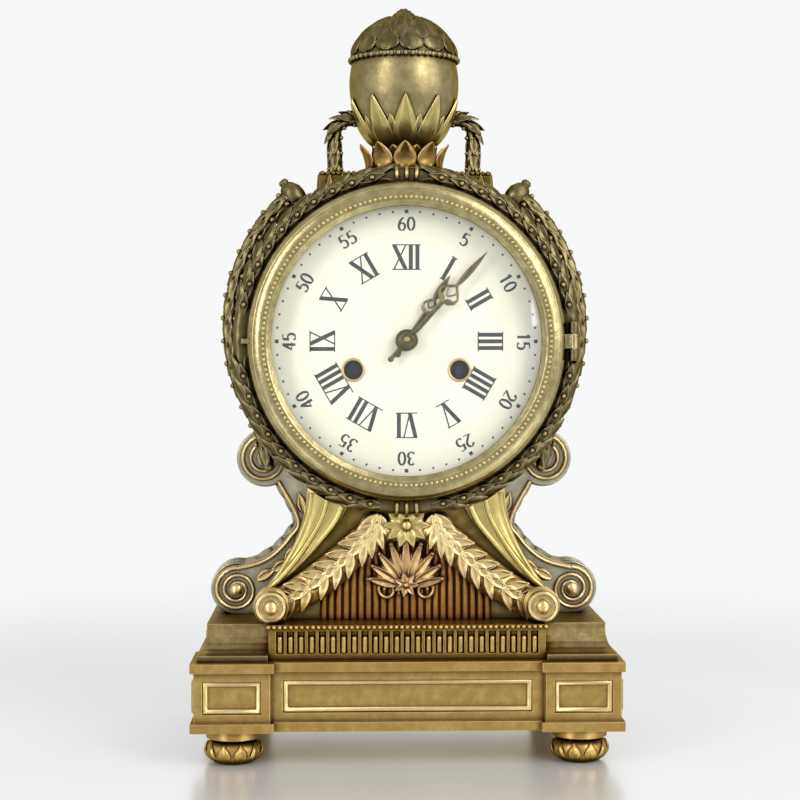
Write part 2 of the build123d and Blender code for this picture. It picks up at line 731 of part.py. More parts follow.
def fixed_knuckles(axis, root_y):
    """Two knuckles on a hinge axis, each with a lug back to the ring that carries it, bored for the pin."""
    for side in (-1, 1):
        ends = sorted((side * (KNUCKLE_HALF + KNUCKLE_GAP), side * knuckle_end))
        low, high = (DRUM_Z + end for end in ends)
        pin(axis[0], axis[1], KNUCKLE_RADIUS, low, high)
        block(
            (axis[0] - KNUCKLE_RADIUS, axis[0] + KNUCKLE_RADIUS), sorted((axis[1], root_y)), (low, high)
        )
    pin(
        axis[0],
        axis[1],
        HINGE_PIN_RADIUS + PIN_CLEARANCE,
        DRUM_Z - knuckle_end,
        DRUM_Z + knuckle_end,
        mode=Mode.SUBTRACT,
    )


def moving_knuckle(axis, arm_x, arm_y):
    """The middle knuckle on a hinge axis, with an arm to the leaf that it carries, bored for the pin."""
    ends = (DRUM_Z - KNUCKLE_HALF, DRUM_Z + KNUCKLE_HALF)
    pin(axis[0], axis[1], KNUCKLE_RADIUS, *ends)
    block(sorted((axis[0], arm_x)), arm_y, ends)
    pin(axis[0], axis[1], HINGE_PIN_RADIUS + PIN_CLEARANCE, *ends, mode=Mode.SUBTRACT)


# Front ring: the rounded ring at the drum's mouth, with a ledge inside that seats the dial
seat_rear = DIAL_SEAT + RING_SEAT_DEPTH
spigot_radius = DRUM_RADIUS - DRUM_WALL - SEAT_GAP
roll = RING_THICKNESS / 2
with BuildPart() as front_ring:
    with BuildSketch(Plane.XY.offset(DRUM_Z)):
        with BuildLine():
            Polyline(
                (RING_RADIUS - roll, RING_FACE),
                (DIAL_RADIUS + SEAT_GAP, RING_FACE),
                (DIAL_RADIUS + SEAT_GAP, DIAL_SEAT),
                (PLATE_RADIUS + 3, DIAL_SEAT),
                (PLATE_RADIUS + 3, seat_rear),
                (spigot_radius, seat_rear),
                (spigot_radius, DRUM_FRONT),
                (RING_RADIUS - roll, DRUM_FRONT),
            )
            ThreePointArc(
                (RING_RADIUS - roll, DRUM_FRONT),
                (RING_RADIUS, DRUM_FRONT - roll),
                (RING_RADIUS - roll, RING_FACE),
            )
        make_face()
    revolve(axis=DRUM_AXIS)
    fixed_knuckles(bezel_axis, RING_FACE + roll / 2)
save(front_ring.part, "front_ring")

# Bezel: the glazed front frame, grooved for its glass, with a thumb lug opposite its hinge
glass_edge_radius = BEZEL_OPENING + GLASS_EDGE
groove_front = bezel_rear - GLASS_THICKNESS - 1.4
groove_rear = bezel_rear - 0.8
with BuildPart() as bezel:
    with BuildSketch(Plane.XY.offset(DRUM_Z)):
        with BuildLine():
            Polyline(
                (BEZEL_RADIUS, bezel_rear),
                (BEZEL_OPENING, bezel_rear),
                (BEZEL_OPENING, groove_rear),
                (glass_edge_radius + SEAT_GAP, groove_rear),
                (glass_edge_radius + SEAT_GAP, groove_front),
                (BEZEL_OPENING, groove_front),
                (BEZEL_OPENING, bezel_front + 1.2),
                (BEZEL_OPENING + 1.6, bezel_front),
            )
            ThreePointArc(
                (BEZEL_OPENING + 1.6, bezel_front),
                (BEZEL_RADIUS - 1.4, bezel_front + 1.8),
                (BEZEL_RADIUS, bezel_rear),
            )
        make_face()
    revolve(axis=DRUM_AXIS)
    moving_knuckle(bezel_axis, BEZEL_RADIUS - HINGE_ARM_OVERLAP, (bezel_axis[1] - 1.0, bezel_axis[1] + 1.0))
    with Locations((-BEZEL_RADIUS, bezel_rear - BEZEL_THICKNESS * 0.35, DRUM_Z)):
        Cylinder(1.1, 3.0, rotation=(0, 90, 0))
save(bezel.part, "bezel")

# Bezel glass: a shallow convex lens
glass_rear = groove_rear - SEAT_GAP
glass_middle = dome_point(glass_edge_radius, GLASS_RISE)
with BuildPart() as bezel_glass:
    with BuildSketch(Plane.XY.offset(DRUM_Z)):
        with BuildLine():
            front_edge = glass_rear - GLASS_THICKNESS
            ThreePointArc(
                (glass_edge_radius, front_edge),
                (glass_middle[0], front_edge - glass_middle[1]),
                (0, front_edge - GLASS_RISE),
            )
            Line((0, front_edge - GLASS_RISE), (0, glass_rear - GLASS_RISE))
            ThreePointArc(
                (0, glass_rear - GLASS_RISE),
                (glass_middle[0], glass_rear - glass_middle[1]),
                (glass_edge_radius, glass_rear),
            )
            Line((glass_edge_radius, glass_rear), (glass_edge_radius, front_edge))
        make_face()
    revolve(axis=DRUM_AXIS)
save(bezel_glass.part, "bezel_glass")

# Dial: a slightly domed enamel disc, on a brass plate whose feet pass through the front plate
going_at = (WINDING_X, -WINDING_DROP)
strike_at = (-WINDING_X, -WINDING_DROP)
dial_feet = [polar(PILLAR_CIRCLE_RADIUS, angle) for angle in DIAL_FOOT_ANGLES]
dial_middle = dome_point(DIAL_RADIUS, DIAL_DOME)
with BuildPart() as dial:
    with BuildSketch(Plane.XY.offset(DRUM_Z)):
        with BuildLine():
            dial_edge = DIAL_FACE + DIAL_DOME
            ThreePointArc(
                (DIAL_RADIUS, dial_edge),
                (dial_middle[0], dial_edge - dial_middle[1]),
                (0, DIAL_FACE),
            )
            Polyline((0, DIAL_FACE), (0, DIAL_BACK), (DIAL_RADIUS, DIAL_BACK), (DIAL_RADIUS, dial_edge))
        make_face()
    revolve(axis=DRUM_AXIS)
    rod((0, 0), DIAL_HOLE, DIAL_FACE - 1, DIAL_BACK + 1, mode=Mode.SUBTRACT)
    for at in (going_at, strike_at):
        rod(at, WINDING_HOLE, DIAL_FACE - 1, DIAL_BACK + 1, mode=Mode.SUBTRACT)
save(dial.part, "dial")

with BuildPart() as dial_plate:
    with BuildSketch(dial_plane(DIAL_SEAT)):
        Circle(DIAL_RADIUS)
        Circle(DIAL_HOLE, mode=Mode.SUBTRACT)
        with Locations(going_at, strike_at):
            Circle(WINDING_HOLE, mode=Mode.SUBTRACT)
    extrude(amount=DIAL_PLATE_THICKNESS)
    for at in dial_feet:
        rod(at, DIAL_FOOT_RADIUS, DIAL_SEAT, FRONT_PLATE + 0.5)
save(dial_plate.part, "dial_plate")

# Rear ring: closes the drum's back edge and carries the door's hinge
with BuildPart() as rear_ring:
    with BuildSketch(dial_plane(DRUM_REAR + REAR_RING_THICKNESS)):
        Circle(DRUM_RADIUS)
        Circle(REAR_RING_BORE, mode=Mode.SUBTRACT)
    extrude(amount=REAR_RING_THICKNESS)
    with BuildSketch(dial_plane(DRUM_REAR)):
        Circle(spigot_radius)
        Circle(REAR_RING_BORE, mode=Mode.SUBTRACT)
    extrude(amount=REAR_SPIGOT)
    fixed_knuckles(door_axis, DRUM_REAR + REAR_RING_THICKNESS / 2)
save(rear_ring.part, "rear_ring")

# Rear door: a turned disc with a raised rim and a knob
with BuildPart() as back_door:
    with BuildSketch(dial_plane(door_rear)):
        Circle(DOOR_RADIUS)
    extrude(amount=DOOR_THICKNESS)
    with BuildSketch(dial_plane(door_rear + DOOR_RIM_THICKNESS)):
        Circle(DOOR_RADIUS - DOOR_RIM_INSET)
        Circle(DOOR_RADIUS - DOOR_RIM_INSET - DOOR_RIM_WIDTH, mode=Mode.SUBTRACT)
    extrude(amount=DOOR_RIM_THICKNESS)
    moving_knuckle(door_axis, -(DOOR_RADIUS - HINGE_ARM_OVERLAP), (door_front, door_rear))
    knob_at = (DOOR_RADIUS - DOOR_KNOB_INSET, 0)
    knob_middle = door_rear + DOOR_KNOB_LENGTH / 2
    rod(knob_at, DOOR_KNOB_RADIUS / 2, door_rear, knob_middle)
    rod(knob_at, DOOR_KNOB_RADIUS, knob_middle, door_rear + DOOR_KNOB_LENGTH)
save(back_door.part, "back_door")

# Hinge pins: one for the bezel and one for the door
with BuildPart() as hinge_pins:
    for axis in (bezel_axis, door_axis):
        pin(axis[0], axis[1], HINGE_PIN_RADIUS, DRUM_Z - knuckle_end, DRUM_Z + knuckle_end)
save(hinge_pins.part, "hinge_pins")

# Garlands: a laurel rope along each flank of the drum, hung from a boss and ending in a drop.
# Its circle is centred above the drum's, so that it stands out at the boss and lies on the drum below.
boss_root = DRUM_RADIUS + FACE_GAP
garland_end = polar(boss_root + GARLAND_RADIUS, GARLAND_END)
garland_circle = math.dist((0, GARLAND_RISE), garland_end)
garland_lean = heading((0, GARLAND_RISE), garland_end) + 180
garland_tip = (
    garland_end[0] + GARLAND_DROP * math.tan(math.radians(garland_lean / 2)),
    garland_end[1] - GARLAND_DROP,
)


def garland_point(angle):
    """The place where the garland crosses a line from the dial's centre."""
    across, along = polar(GARLAND_RISE, angle)
    return polar(along + math.sqrt(garland_circle**2 - across**2), angle)


def garland(side):
    """One garland, on the left with side 1 or on the right with side -1."""
    arch = [garland_point(angle) for angle in (GARLAND_TOP, (GARLAND_TOP + GARLAND_END) / 2, GARLAND_END)]
    boss = polar(1, GARLAND_TOP)
    with BuildPart() as piece:
        with BuildLine(dial_plane(GARLAND_Y)) as path:
            ThreePointArc(*((side * x, z) for x, z in arch))
            TangentArc(
                (side * garland_end[0], garland_end[1]),
                (side * garland_tip[0], garland_tip[1]),
                tangent=path.line % 1,
            )
        with BuildSketch(Plane(path.line @ 0, z_dir=path.line % 0)):
            Circle(GARLAND_RADIUS)
        sweep()
        boss_place = (side * boss[0] * boss_root, GARLAND_Y, DRUM_Z + boss[1] * boss_root)
        with BuildSketch(Plane(boss_place, z_dir=(side * boss[0], 0, boss[1]))):
            Circle(BOSS_RADIUS)
        extrude(amount=math.hypot(*arch[0]) + BOSS_RISE - boss_root, taper=BOSS_TAPER)
        rod((0, 0), DRUM_RADIUS + SEAT_GAP, GARLAND_Y - 6, GARLAND_Y + 6, mode=Mode.SUBTRACT)
    return piece.part


save(garland(1), "garland_left")
save(garland(-1), "garland_right")

# Urn base: a saddle on top of the drum
drum_top = DRUM_Z + DRUM_RADIUS
urn_base_top = drum_top + URN_BASE_RISE
urn_y = DRUM_FRONT + DRUM_DEPTH / 2 - 4
with BuildPart() as urn_base:
    block(
        (-URN_BASE_WIDTH / 2, URN_BASE_WIDTH / 2),
        (urn_y - URN_BASE_DEPTH / 2, urn_y + URN_BASE_DEPTH / 2),
        (drum_top - URN_BASE_WIDTH / 7, urn_base_top),
    )
    rod((0, 0), DRUM_RADIUS + SEAT_GAP, DRUM_FRONT, DRUM_REAR, mode=Mode.SUBTRACT)
    chamfer(urn_base.edges().group_by(Axis.Z)[-1], 1.2)
save(urn_base.part, "urn_base")

# Urn body: a turned foot, a stem and an egg-shaped cup
cup_z = urn_base_top + URN_STEM_HEIGHT
rim_z = urn_base_top + URN_BODY_HEIGHT
urn_axis = Axis((0, urn_y, 0), (0, 0, 1))
with BuildPart() as urn_body:
    with BuildSketch(Plane.XZ.offset(-urn_y)):
        with BuildLine():
            Polyline((0, rim_z), (0, urn_base_top), (URN_FOOT_RADIUS, urn_base_top))
            Line((URN_FOOT_RADIUS, urn_base_top), (URN_FOOT_RADIUS, urn_base_top + 2))
            ThreePointArc(
                (URN_FOOT_RADIUS, urn_base_top + 2),
                (URN_STEM_RADIUS + 1.5, urn_base_top + URN_STEM_HEIGHT * 0.55),
                (URN_STEM_RADIUS, cup_z),
            )
            ThreePointArc(
                (URN_STEM_RADIUS, cup_z),
                (URN_RADIUS * 0.90, cup_z + (rim_z - cup_z) * 0.38),
                (URN_RADIUS - URN_RIM, rim_z - URN_RIM),
            )
            Polyline(
                (URN_RADIUS - URN_RIM, rim_z - URN_RIM),
                (URN_RADIUS, rim_z - URN_RIM),
                (URN_RADIUS, rim_z),
                (0, rim_z),
            )
        make_face()
    revolve(axis=urn_axis)
save(urn_body.part, "urn_body")

# Urn lid: a dome that rises to a pointed bud
lid_top = rim_z + URN_LID_HEIGHT
with BuildPart() as urn_lid:
    with BuildSketch(Plane.XZ.offset(-urn_y)):
        with BuildLine():
            Polyline((0, lid_top), (0, rim_z), (URN_RADIUS - 0.6, rim_z))
            ThreePointArc(
                (URN_RADIUS - 0.6, rim_z),
                (URN_RADIUS * 0.70, rim_z + URN_LID_HEIGHT * 0.50),
                (URN_RADIUS * 0.30, rim_z + URN_LID_HEIGHT * 0.76),
            )
            Line(
                (URN_RADIUS * 0.30, rim_z + URN_LID_HEIGHT * 0.76),
                (URN_RADIUS * 0.17, rim_z + URN_LID_HEIGHT * 0.90),
            )
            Line((URN_RADIUS * 0.17, rim_z + URN_LID_HEIGHT * 0.90), (0, lid_top))
        make_face()
    revolve(axis=urn_axis)
save(urn_lid.part, "urn_lid")

# Urn swags: a garland that springs from each side of the urn and hangs down to its base
swag_z = urn_base_top + SWAG_TOP
with BuildPart() as swag_right:
    with BuildLine(Plane.XZ.offset(-urn_y)) as swag_path:
        root = (URN_STEM_RADIUS + 2, swag_z - 3)
        crown = (SWAG_REACH - 6, swag_z)
        turn = (SWAG_REACH, swag_z - 6)
        ThreePointArc(root, (SWAG_REACH - 12, swag_z - 0.9), crown)
        TangentArc(crown, turn, tangent=swag_path.line % 1)
        Line(turn, (turn[0], urn_base_top + SEAT_GAP))
    with BuildSketch(Plane(swag_path.line @ 0, z_dir=swag_path.line % 0)):
        Circle(SWAG_RADIUS)
    sweep(transition=Transition.ROUND)
    add(urn_body.part, mode=Mode.SUBTRACT)
save(swag_right.part, "swag_right")
with BuildPart() as swag_left:
    mirror(swag_right.part, about=Plane.YZ)
save(swag_left.part, "swag_left")

# Places of the movement's arbors, each worked out from the wheels that mesh
great_distance = mesh_distance(GREAT_MODULE, GREAT_TEETH, SECOND_PINION_TEETH)
centre_at = (0.0, 0.0)
second_at = meeting_point(
    going_at, great_distance, centre_at, mesh_distance(TRAIN_MODULE, SECOND_TEETH, CENTRE_PINION_TEETH)
)
third_at = polar(mesh_distance(TRAIN_MODULE, CENTRE_TEETH, THIRD_PINION_TEETH), THIRD_ANGLE)
escape_distance = mesh_distance(FINE_MODULE, THIRD_TEETH, ESCAPE_PINION_TEETH)
escape_at = (0.0, third_at[1] + math.sqrt(escape_distance**2 - third_at[0] ** 2))
anchor_at = (0.0, escape_at[1] + ANCHOR_RISE)
pin_wheel_at = shifted(strike_at, great_distance, PIN_WHEEL_ANGLE)
locking_at = shifted(
    pin_wheel_at, mesh_distance(TRAIN_MODULE, PIN_WHEEL_TEETH, LOCKING_PINION_TEETH), LOCKING_ANGLE
)
fly_at = shifted(locking_at, mesh_distance(FINE_MODULE, LOCKING_TEETH, FLY_PINION_TEETH), FLY_ANGLE)
minute_at = (0.0, mesh_distance(TRAIN_MODULE, CANNON_TEETH, MINUTE_TEETH))
pillars_at = [polar(PILLAR_CIRCLE_RADIUS, angle) for angle in PILLAR_ANGLES]

# Planes of the wheels, counted from the plates
fast_plane = FRONT_PLATE + FAST_DEPTH
barrel_front = FRONT_PLATE + BARREL_DEPTH
great_front = BACK_PLATE - GREAT_DEPTH
centre_plane = BACK_PLATE - CENTRE_DEPTH
third_plane = FRONT_PLATE + THIRD_DEPTH
escape_plane = BACK_PLATE - ESCAPE_DEPTH
locking_plane = FRONT_PLATE + LOCKING_DEPTH
pinion_length = WHEEL_THICKNESS + 2 * PINION_OVERHANG
great_pinion_length = GREAT_THICKNESS + 2 * PINION_OVERHANG

# Plates: two discs held apart by pillars, bored for every pivot
pivot_hole = PIVOT_RADIUS + PIVOT_CLEARANCE
arbor_hole = BARREL_ARBOR_RADIUS + PIVOT_CLEARANCE
plain_pivots = [second_at, third_at, escape_at, pin_wheel_at, locking_at, fly_at]
click_offset = shifted((0, 0), RATCHET_RADIUS + 5.0, 40)
clicks_at = [(going_at[0] + click_offset[0], going_at[1] + click_offset[1])]
clicks_at.append((strike_at[0] - click_offset[0], strike_at[1] + click_offset[1]))
CLICK_STUD = 0.9
click_front = FRONT_FACE - 0.5 - RATCHET_THICKNESS
with BuildPart() as front_plate:
    with BuildSketch(dial_plane(FRONT_PLATE)):
        Circle(PLATE_RADIUS)
        with Locations(*plain_pivots, anchor_at, HAMMER_AT):
            Circle(pivot_hole, mode=Mode.SUBTRACT)
        with Locations(centre_at):
            Circle(ARBOR_RADIUS + PIVOT_CLEARANCE, mode=Mode.SUBTRACT)
        with Locations(going_at, strike_at):
            Circle(arbor_hole, mode=Mode.SUBTRACT)
        with Locations(*dial_feet):
            Circle(DIAL_FOOT_RADIUS + PIVOT_CLEARANCE, mode=Mode.SUBTRACT)
    extrude(amount=PLATE_THICKNESS)
    for at in clicks_at:
        rod(at, CLICK_STUD, click_front, FRONT_FACE)
    rod(minute_at, ARBOR_RADIUS, DIAL_SEAT + 0.5, FRONT_FACE)
save(front_plate.part, "front_plate")

with BuildPart() as back_plate:
    with BuildSketch(dial_plane(BACK_FACE)):
        Circle(PLATE_RADIUS)
        with Locations(*plain_pivots, centre_at):
            Circle(pivot_hole, mode=Mode.SUBTRACT)
        with Locations(anchor_at, HAMMER_AT):
            Circle(ARBOR_RADIUS + PIVOT_CLEARANCE, mode=Mode.SUBTRACT)
        with Locations(going_at, strike_at):
            Circle(arbor_hole, mode=Mode.SUBTRACT)
    extrude(amount=PLATE_THICKNESS)
save(back_plate.part, "back_plate")

with BuildPart() as pillars:
    for at in pillars_at:
        rod(at, PILLAR_RADIUS, FRONT_PLATE, BACK_PLATE)
        rod(at, PILLAR_RADIUS + 0.8, FRONT_PLATE, FRONT_PLATE + 2.5)
        rod(at, PILLAR_RADIUS + 0.8, BACK_PLATE - 2.5, BACK_PLATE)
save(pillars.part, "pillars")


def barrel(at, tooth_angle):
    """A spring barrel with its great wheel, hollow for the spring and bored for its arbor."""
    with BuildPart() as piece:
        rod(at, BARREL_RADIUS, barrel_front, great_front)
        with BuildSketch(dial_plane(great_front + GREAT_THICKNESS, at)):
            Gear(GREAT_TEETH, GREAT_MODULE, tooth_angle)
        extrude(amount=GREAT_THICKNESS)
        rod(
            at,
            BARREL_RADIUS - BARREL_WALL,
            barrel_front + BARREL_WALL,
            great_front - BARREL_WALL,
            mode=Mode.SUBTRACT,
        )
        rod(at, arbor_hole, barrel_front - 1, great_front + GREAT_THICKNESS + 1, mode=Mode.SUBTRACT)
    return piece.part


def barrel_arbor(at):
    """A barrel's arbor: its core, a ratchet in front of the front plate, and the square for the key."""
    ratchet_rear = FRONT_FACE - 0.5
    square_front = DIAL_SEAT + 0.4
    with BuildPart() as piece:
        rod(at, BARREL_ARBOR_RADIUS, ratchet_rear, BACK_FACE)
        rod(at, BARREL_CORE_RADIUS, barrel_front + 2 * BARREL_WALL, great_front - 2 * BARREL_WALL)
        with BuildSketch(dial_plane(ratchet_rear, at)):
            HookedDisc(RATCHET_TEETH, RATCHET_RADIUS, RATCHET_DEPTH, 2.0)
        extrude(amount=RATCHET_THICKNESS)
        with BuildSketch(dial_plane(ratchet_rear, at)):
            Rectangle(WINDING_SQUARE, WINDING_SQUARE)
        extrude(amount=ratchet_rear - square_front)
    return piece.part


def mainspring(at):
    """A coiled spring strip that fills the barrel, made of half turns whose radius grows evenly."""
    inner = BARREL_CORE_RADIUS + 0.6
    outer = BARREL_RADIUS - BARREL_WALL - 0.2
    growth = (outer - inner - SPRING_THICKNESS) / (2 * SPRING_TURNS)
    with BuildPart() as piece:
        with BuildSketch(dial_plane(great_front - 2 * BARREL_WALL, at)):
            with BuildLine():
                for half in range(2 * SPRING_TURNS):
                    side = 1 if half % 2 == 0 else -1
                    shift = side * growth / 2
                    for edge in (0, SPRING_THICKNESS):
                        reach = side * (inner + growth * (half + 0.5) + edge)
                        ThreePointArc((shift - reach, 0), (shift, reach), (shift + reach, 0))
                Line((-inner, 0), (-inner - SPRING_THICKNESS, 0))
                last = -inner - growth * 2 * SPRING_TURNS
                Line((last, 0), (last - SPRING_THICKNESS, 0))
            make_face()
        extrude(amount=great_front - barrel_front - 4 * BARREL_WALL)
    return piece.part


save(barrel(going_at, heading(going_at, second_at)), "going_barrel")
save(barrel(strike_at, heading(strike_at, pin_wheel_at)), "strike_barrel")
save(barrel_arbor(going_at), "going_arbor")
save(barrel_arbor(strike_at), "strike_arbor")
save(mainspring(going_at), "going_mainspring")
save(mainspring(strike_at), "strike_mainspring")

# Going train: second wheel, third wheel and escape wheel
great_middle = great_front + GREAT_THICKNESS / 2
fast_middle = fast_plane + WHEEL_THICKNESS / 2
second_wheel = train_wheel(
    second_at,
    (SECOND_TEETH, TRAIN_MODULE, fast_plane, heading(second_at, centre_at)),
    (SECOND_PINION_TEETH, GREAT_MODULE, great_middle, great_pinion_length, heading(second_at, going_at)),
)
save(second_wheel, "second_wheel")
third_wheel = train_wheel(
    third_at,
    (THIRD_TEETH, FINE_MODULE, third_plane, heading(third_at, escape_at)),
    (
        THIRD_PINION_TEETH,
        TRAIN_MODULE,
        centre_plane + WHEEL_THICKNESS / 2,
        pinion_length,
        heading(third_at, centre_at),
    ),
)
save(third_wheel, "third_wheel")

with BuildPart() as escape_wheel:
    with BuildSketch(dial_plane(escape_plane + MOTION_THICKNESS, escape_at)):
        HookedDisc(ESCAPE_TEETH, ESCAPE_RADIUS, 1.6, 4.0)
        Crossings(ESCAPE_RADIUS - 2.8, HUB_RADIUS, mode=Mode.SUBTRACT)
    extrude(amount=MOTION_THICKNESS)
    with BuildSketch(dial_plane(third_plane + WHEEL_THICKNESS + PINION_OVERHANG, escape_at)):
        Gear(ESCAPE_PINION_TEETH, FINE_MODULE, heading(escape_at, third_at), gap=True)
    extrude(amount=pinion_length)
    rod(escape_at, ARBOR_RADIUS, FRONT_PLATE + END_SHAKE, BACK_PLATE - END_SHAKE)
    rod(escape_at, PIVOT_RADIUS, FRONT_FACE, BACK_FACE)
save(escape_wheel.part, "escape_wheel")

# Centre wheel: its pinion takes the power, and its arbor carries the minute hand
hour_hand_front = DIAL_FACE - 2.0
minute_hand_front = hour_hand_front - HAND_THICKNESS - 1.2
with BuildPart() as centre_wheel:
    with BuildSketch(dial_plane(centre_plane + WHEEL_THICKNESS)):
        Gear(CENTRE_TEETH, TRAIN_MODULE, THIRD_ANGLE)
        Crossings(RIM_SHARE * TRAIN_MODULE * CENTRE_TEETH / 2, HUB_RADIUS, mode=Mode.SUBTRACT)
    extrude(amount=WHEEL_THICKNESS)
    with BuildSketch(dial_plane(fast_middle + pinion_length / 2)):
        Gear(CENTRE_PINION_TEETH, TRAIN_MODULE, heading(centre_at, second_at), gap=True)
    extrude(amount=pinion_length)
    rod(centre_at, ARBOR_RADIUS, minute_hand_front - 1.6, BACK_PLATE - END_SHAKE)
    rod(centre_at, PIVOT_RADIUS, BACK_PLATE - 1, BACK_FACE)
save(centre_wheel.part, "centre_wheel")

# Motion work: cannon pinion, minute wheel and hour wheel, in front of the front plate
motion_rear = FRONT_FACE - 0.6
motion_front = motion_rear - MOTION_THICKNESS
hour_rear = motion_front - 0.5
hour_front = hour_rear - MOTION_THICKNESS
hour_module = 2 * minute_at[1] / (MINUTE_PINION_TEETH + HOUR_TEETH)
with BuildPart() as cannon_pinion:
    with BuildSketch(dial_plane(motion_rear)):
        Gear(CANNON_TEETH, TRAIN_MODULE, 90, gap=True)
    extrude(amount=MOTION_THICKNESS)
    rod(centre_at, CANNON_PIPE, minute_hand_front - 0.2, motion_rear)
    rod(centre_at, ARBOR_RADIUS + SEAT_GAP / 2, minute_hand_front - 1, motion_rear + 1, mode=Mode.SUBTRACT)
save(cannon_pinion.part, "cannon_pinion")

with BuildPart() as minute_wheel:
    with BuildSketch(dial_plane(motion_rear, minute_at)):
        Gear(MINUTE_TEETH, TRAIN_MODULE, -90)
    extrude(amount=MOTION_THICKNESS)
    with BuildSketch(dial_plane(motion_rear, minute_at)):
        Gear(MINUTE_PINION_TEETH, hour_module, -90, gap=True)
    extrude(amount=motion_rear - hour_front)
    rod(minute_at, ARBOR_RADIUS + PIVOT_CLEARANCE, hour_front - 1, motion_rear + 1, mode=Mode.SUBTRACT)
save(minute_wheel.part, "minute_wheel")

with BuildPart() as hour_wheel:
    with BuildSketch(dial_plane(hour_rear)):
        Gear(HOUR_TEETH, hour_module, 90)
    extrude(amount=MOTION_THICKNESS)
    rod(centre_at, HOUR_PIPE, hour_hand_front - 0.2, hour_rear)
    rod(centre_at, CANNON_PIPE + PIVOT_CLEARANCE, hour_hand_front - 1, hour_rear + 1, mode=Mode.SUBTRACT)
save(hour_wheel.part, "hour_wheel")


def hand(front, length, bore, angle, loop_share):
    """A pierced hand: a round boss, a slim stem, an open loop and a pointed tip, turned to its hour."""
    loop = length * 0.10
    loop_at = length * loop_share
    tail = length * 0.22
    with BuildPart() as piece:
        with BuildSketch(dial_plane(front + HAND_THICKNESS, centre_at, angle)):
            with BuildLine():
                Polyline(
                    (0, -tail), (1.3, -tail), (0.9, loop_at), (1.5, loop_at + loop), (0, length), (0, -tail)
                )
            make_face()
            mirror(about=Plane.YZ)
            Circle(bore * 1.9)
            with Locations((0, loop_at)):
                Circle(loop)
                Circle(loop * 0.55, mode=Mode.SUBTRACT)
            Circle(bore, mode=Mode.SUBTRACT)
        extrude(amount=HAND_THICKNESS)
    return piece.part


save(hand(hour_hand_front, HOUR_HAND, HOUR_PIPE, HOUR_ANGLE, 0.66), "hour_hand")
save(hand(minute_hand_front, MINUTE_HAND, CANNON_PIPE, MINUTE_ANGLE, 0.62), "minute_hand")

with BuildPart() as hand_nut:
    rod(centre_at, CANNON_PIPE + 0.9, minute_hand_front - 1.5, minute_hand_front - 0.3)
    rod(centre_at, ARBOR_RADIUS, minute_hand_front - 2, minute_hand_front, mode=Mode.SUBTRACT)
save(hand_nut.part, "hand_nut")

# Striking train: pin wheel, locking wheel and fly
PIN_RADIUS = 0.5
pin_circle = TRAIN_MODULE * PIN_WHEEL_TEETH / 2 - 2.0
with BuildPart() as pin_wheel:
    add(
        train_wheel(
            pin_wheel_at,
            (PIN_WHEEL_TEETH, TRAIN_MODULE, fast_plane, heading(pin_wheel_at, locking_at)),
            (
                SECOND_PINION_TEETH,
                GREAT_MODULE,
                great_middle,
                great_pinion_length,
                heading(pin_wheel_at, strike_at),
            ),
        )
    )
    for step in range(PIN_COUNT):
        at = shifted(pin_wheel_at, pin_circle + 0.9, 360 * step / PIN_COUNT)
        rod(at, PIN_RADIUS, fast_plane, fast_plane + WHEEL_THICKNESS + 1.1)
save(pin_wheel.part, "pin_wheel")
locking_wheel = train_wheel(
    locking_at,
    (LOCKING_TEETH, FINE_MODULE, locking_plane, heading(locking_at, fly_at)),
    (LOCKING_PINION_TEETH, TRAIN_MODULE, fast_middle, pinion_length, heading(locking_at, pin_wheel_at)),
)
save(locking_wheel, "locking_wheel")

FLY_THICKNESS = 0.8
with BuildPart() as fly:
    with BuildSketch(dial_plane(locking_plane + WHEEL_THICKNESS + PINION_OVERHANG, fly_at)):
        Gear(FLY_PINION_TEETH, FINE_MODULE, heading(fly_at, locking_at), gap=True)
    extrude(amount=pinion_length)
    rod(fly_at, ARBOR_RADIUS, FRONT_PLATE + END_SHAKE, BACK_PLATE - END_SHAKE)
    rod(fly_at, PIVOT_RADIUS, FRONT_FACE, BACK_FACE)
    block(
        (fly_at[0] - FLY_RADIUS, fly_at[0] + FLY_RADIUS),
        (FRONT_PLATE + 4, locking_plane - 2),
        (DRUM_Z + fly_at[1] - FLY_THICKNESS / 2, DRUM_Z + fly_at[1] + FLY_THICKNESS / 2),
    )
save(fly.part, "fly")


def click(stud_at, wheel_at):
    """A pawl on its stud, whose tip stands just clear of the ratchet's teeth."""
    ratchet_rear = FRONT_FACE - 0.5
    toward = heading(stud_at, wheel_at)
    reach = math.dist(stud_at, wheel_at) - RATCHET_RADIUS - FACE_GAP
    with BuildPart() as piece:
        with BuildSketch(dial_plane(ratchet_rear, stud_at)):
            Circle(CLICK_STUD + 1.1)
            with BuildLine():
                Polyline(
                    polar(1.8, toward + 70), polar(reach, toward), polar(1.8, toward - 70), close=True
                )
            make_face()
            Circle(CLICK_STUD + PIVOT_CLEARANCE, mode=Mode.SUBTRACT)
        extrude(amount=RATCHET_THICKNESS)
    return piece.part


save(click(clicks_at[0], going_at), "going_click")
save(click(clicks_at[1], strike_at), "strike_click")

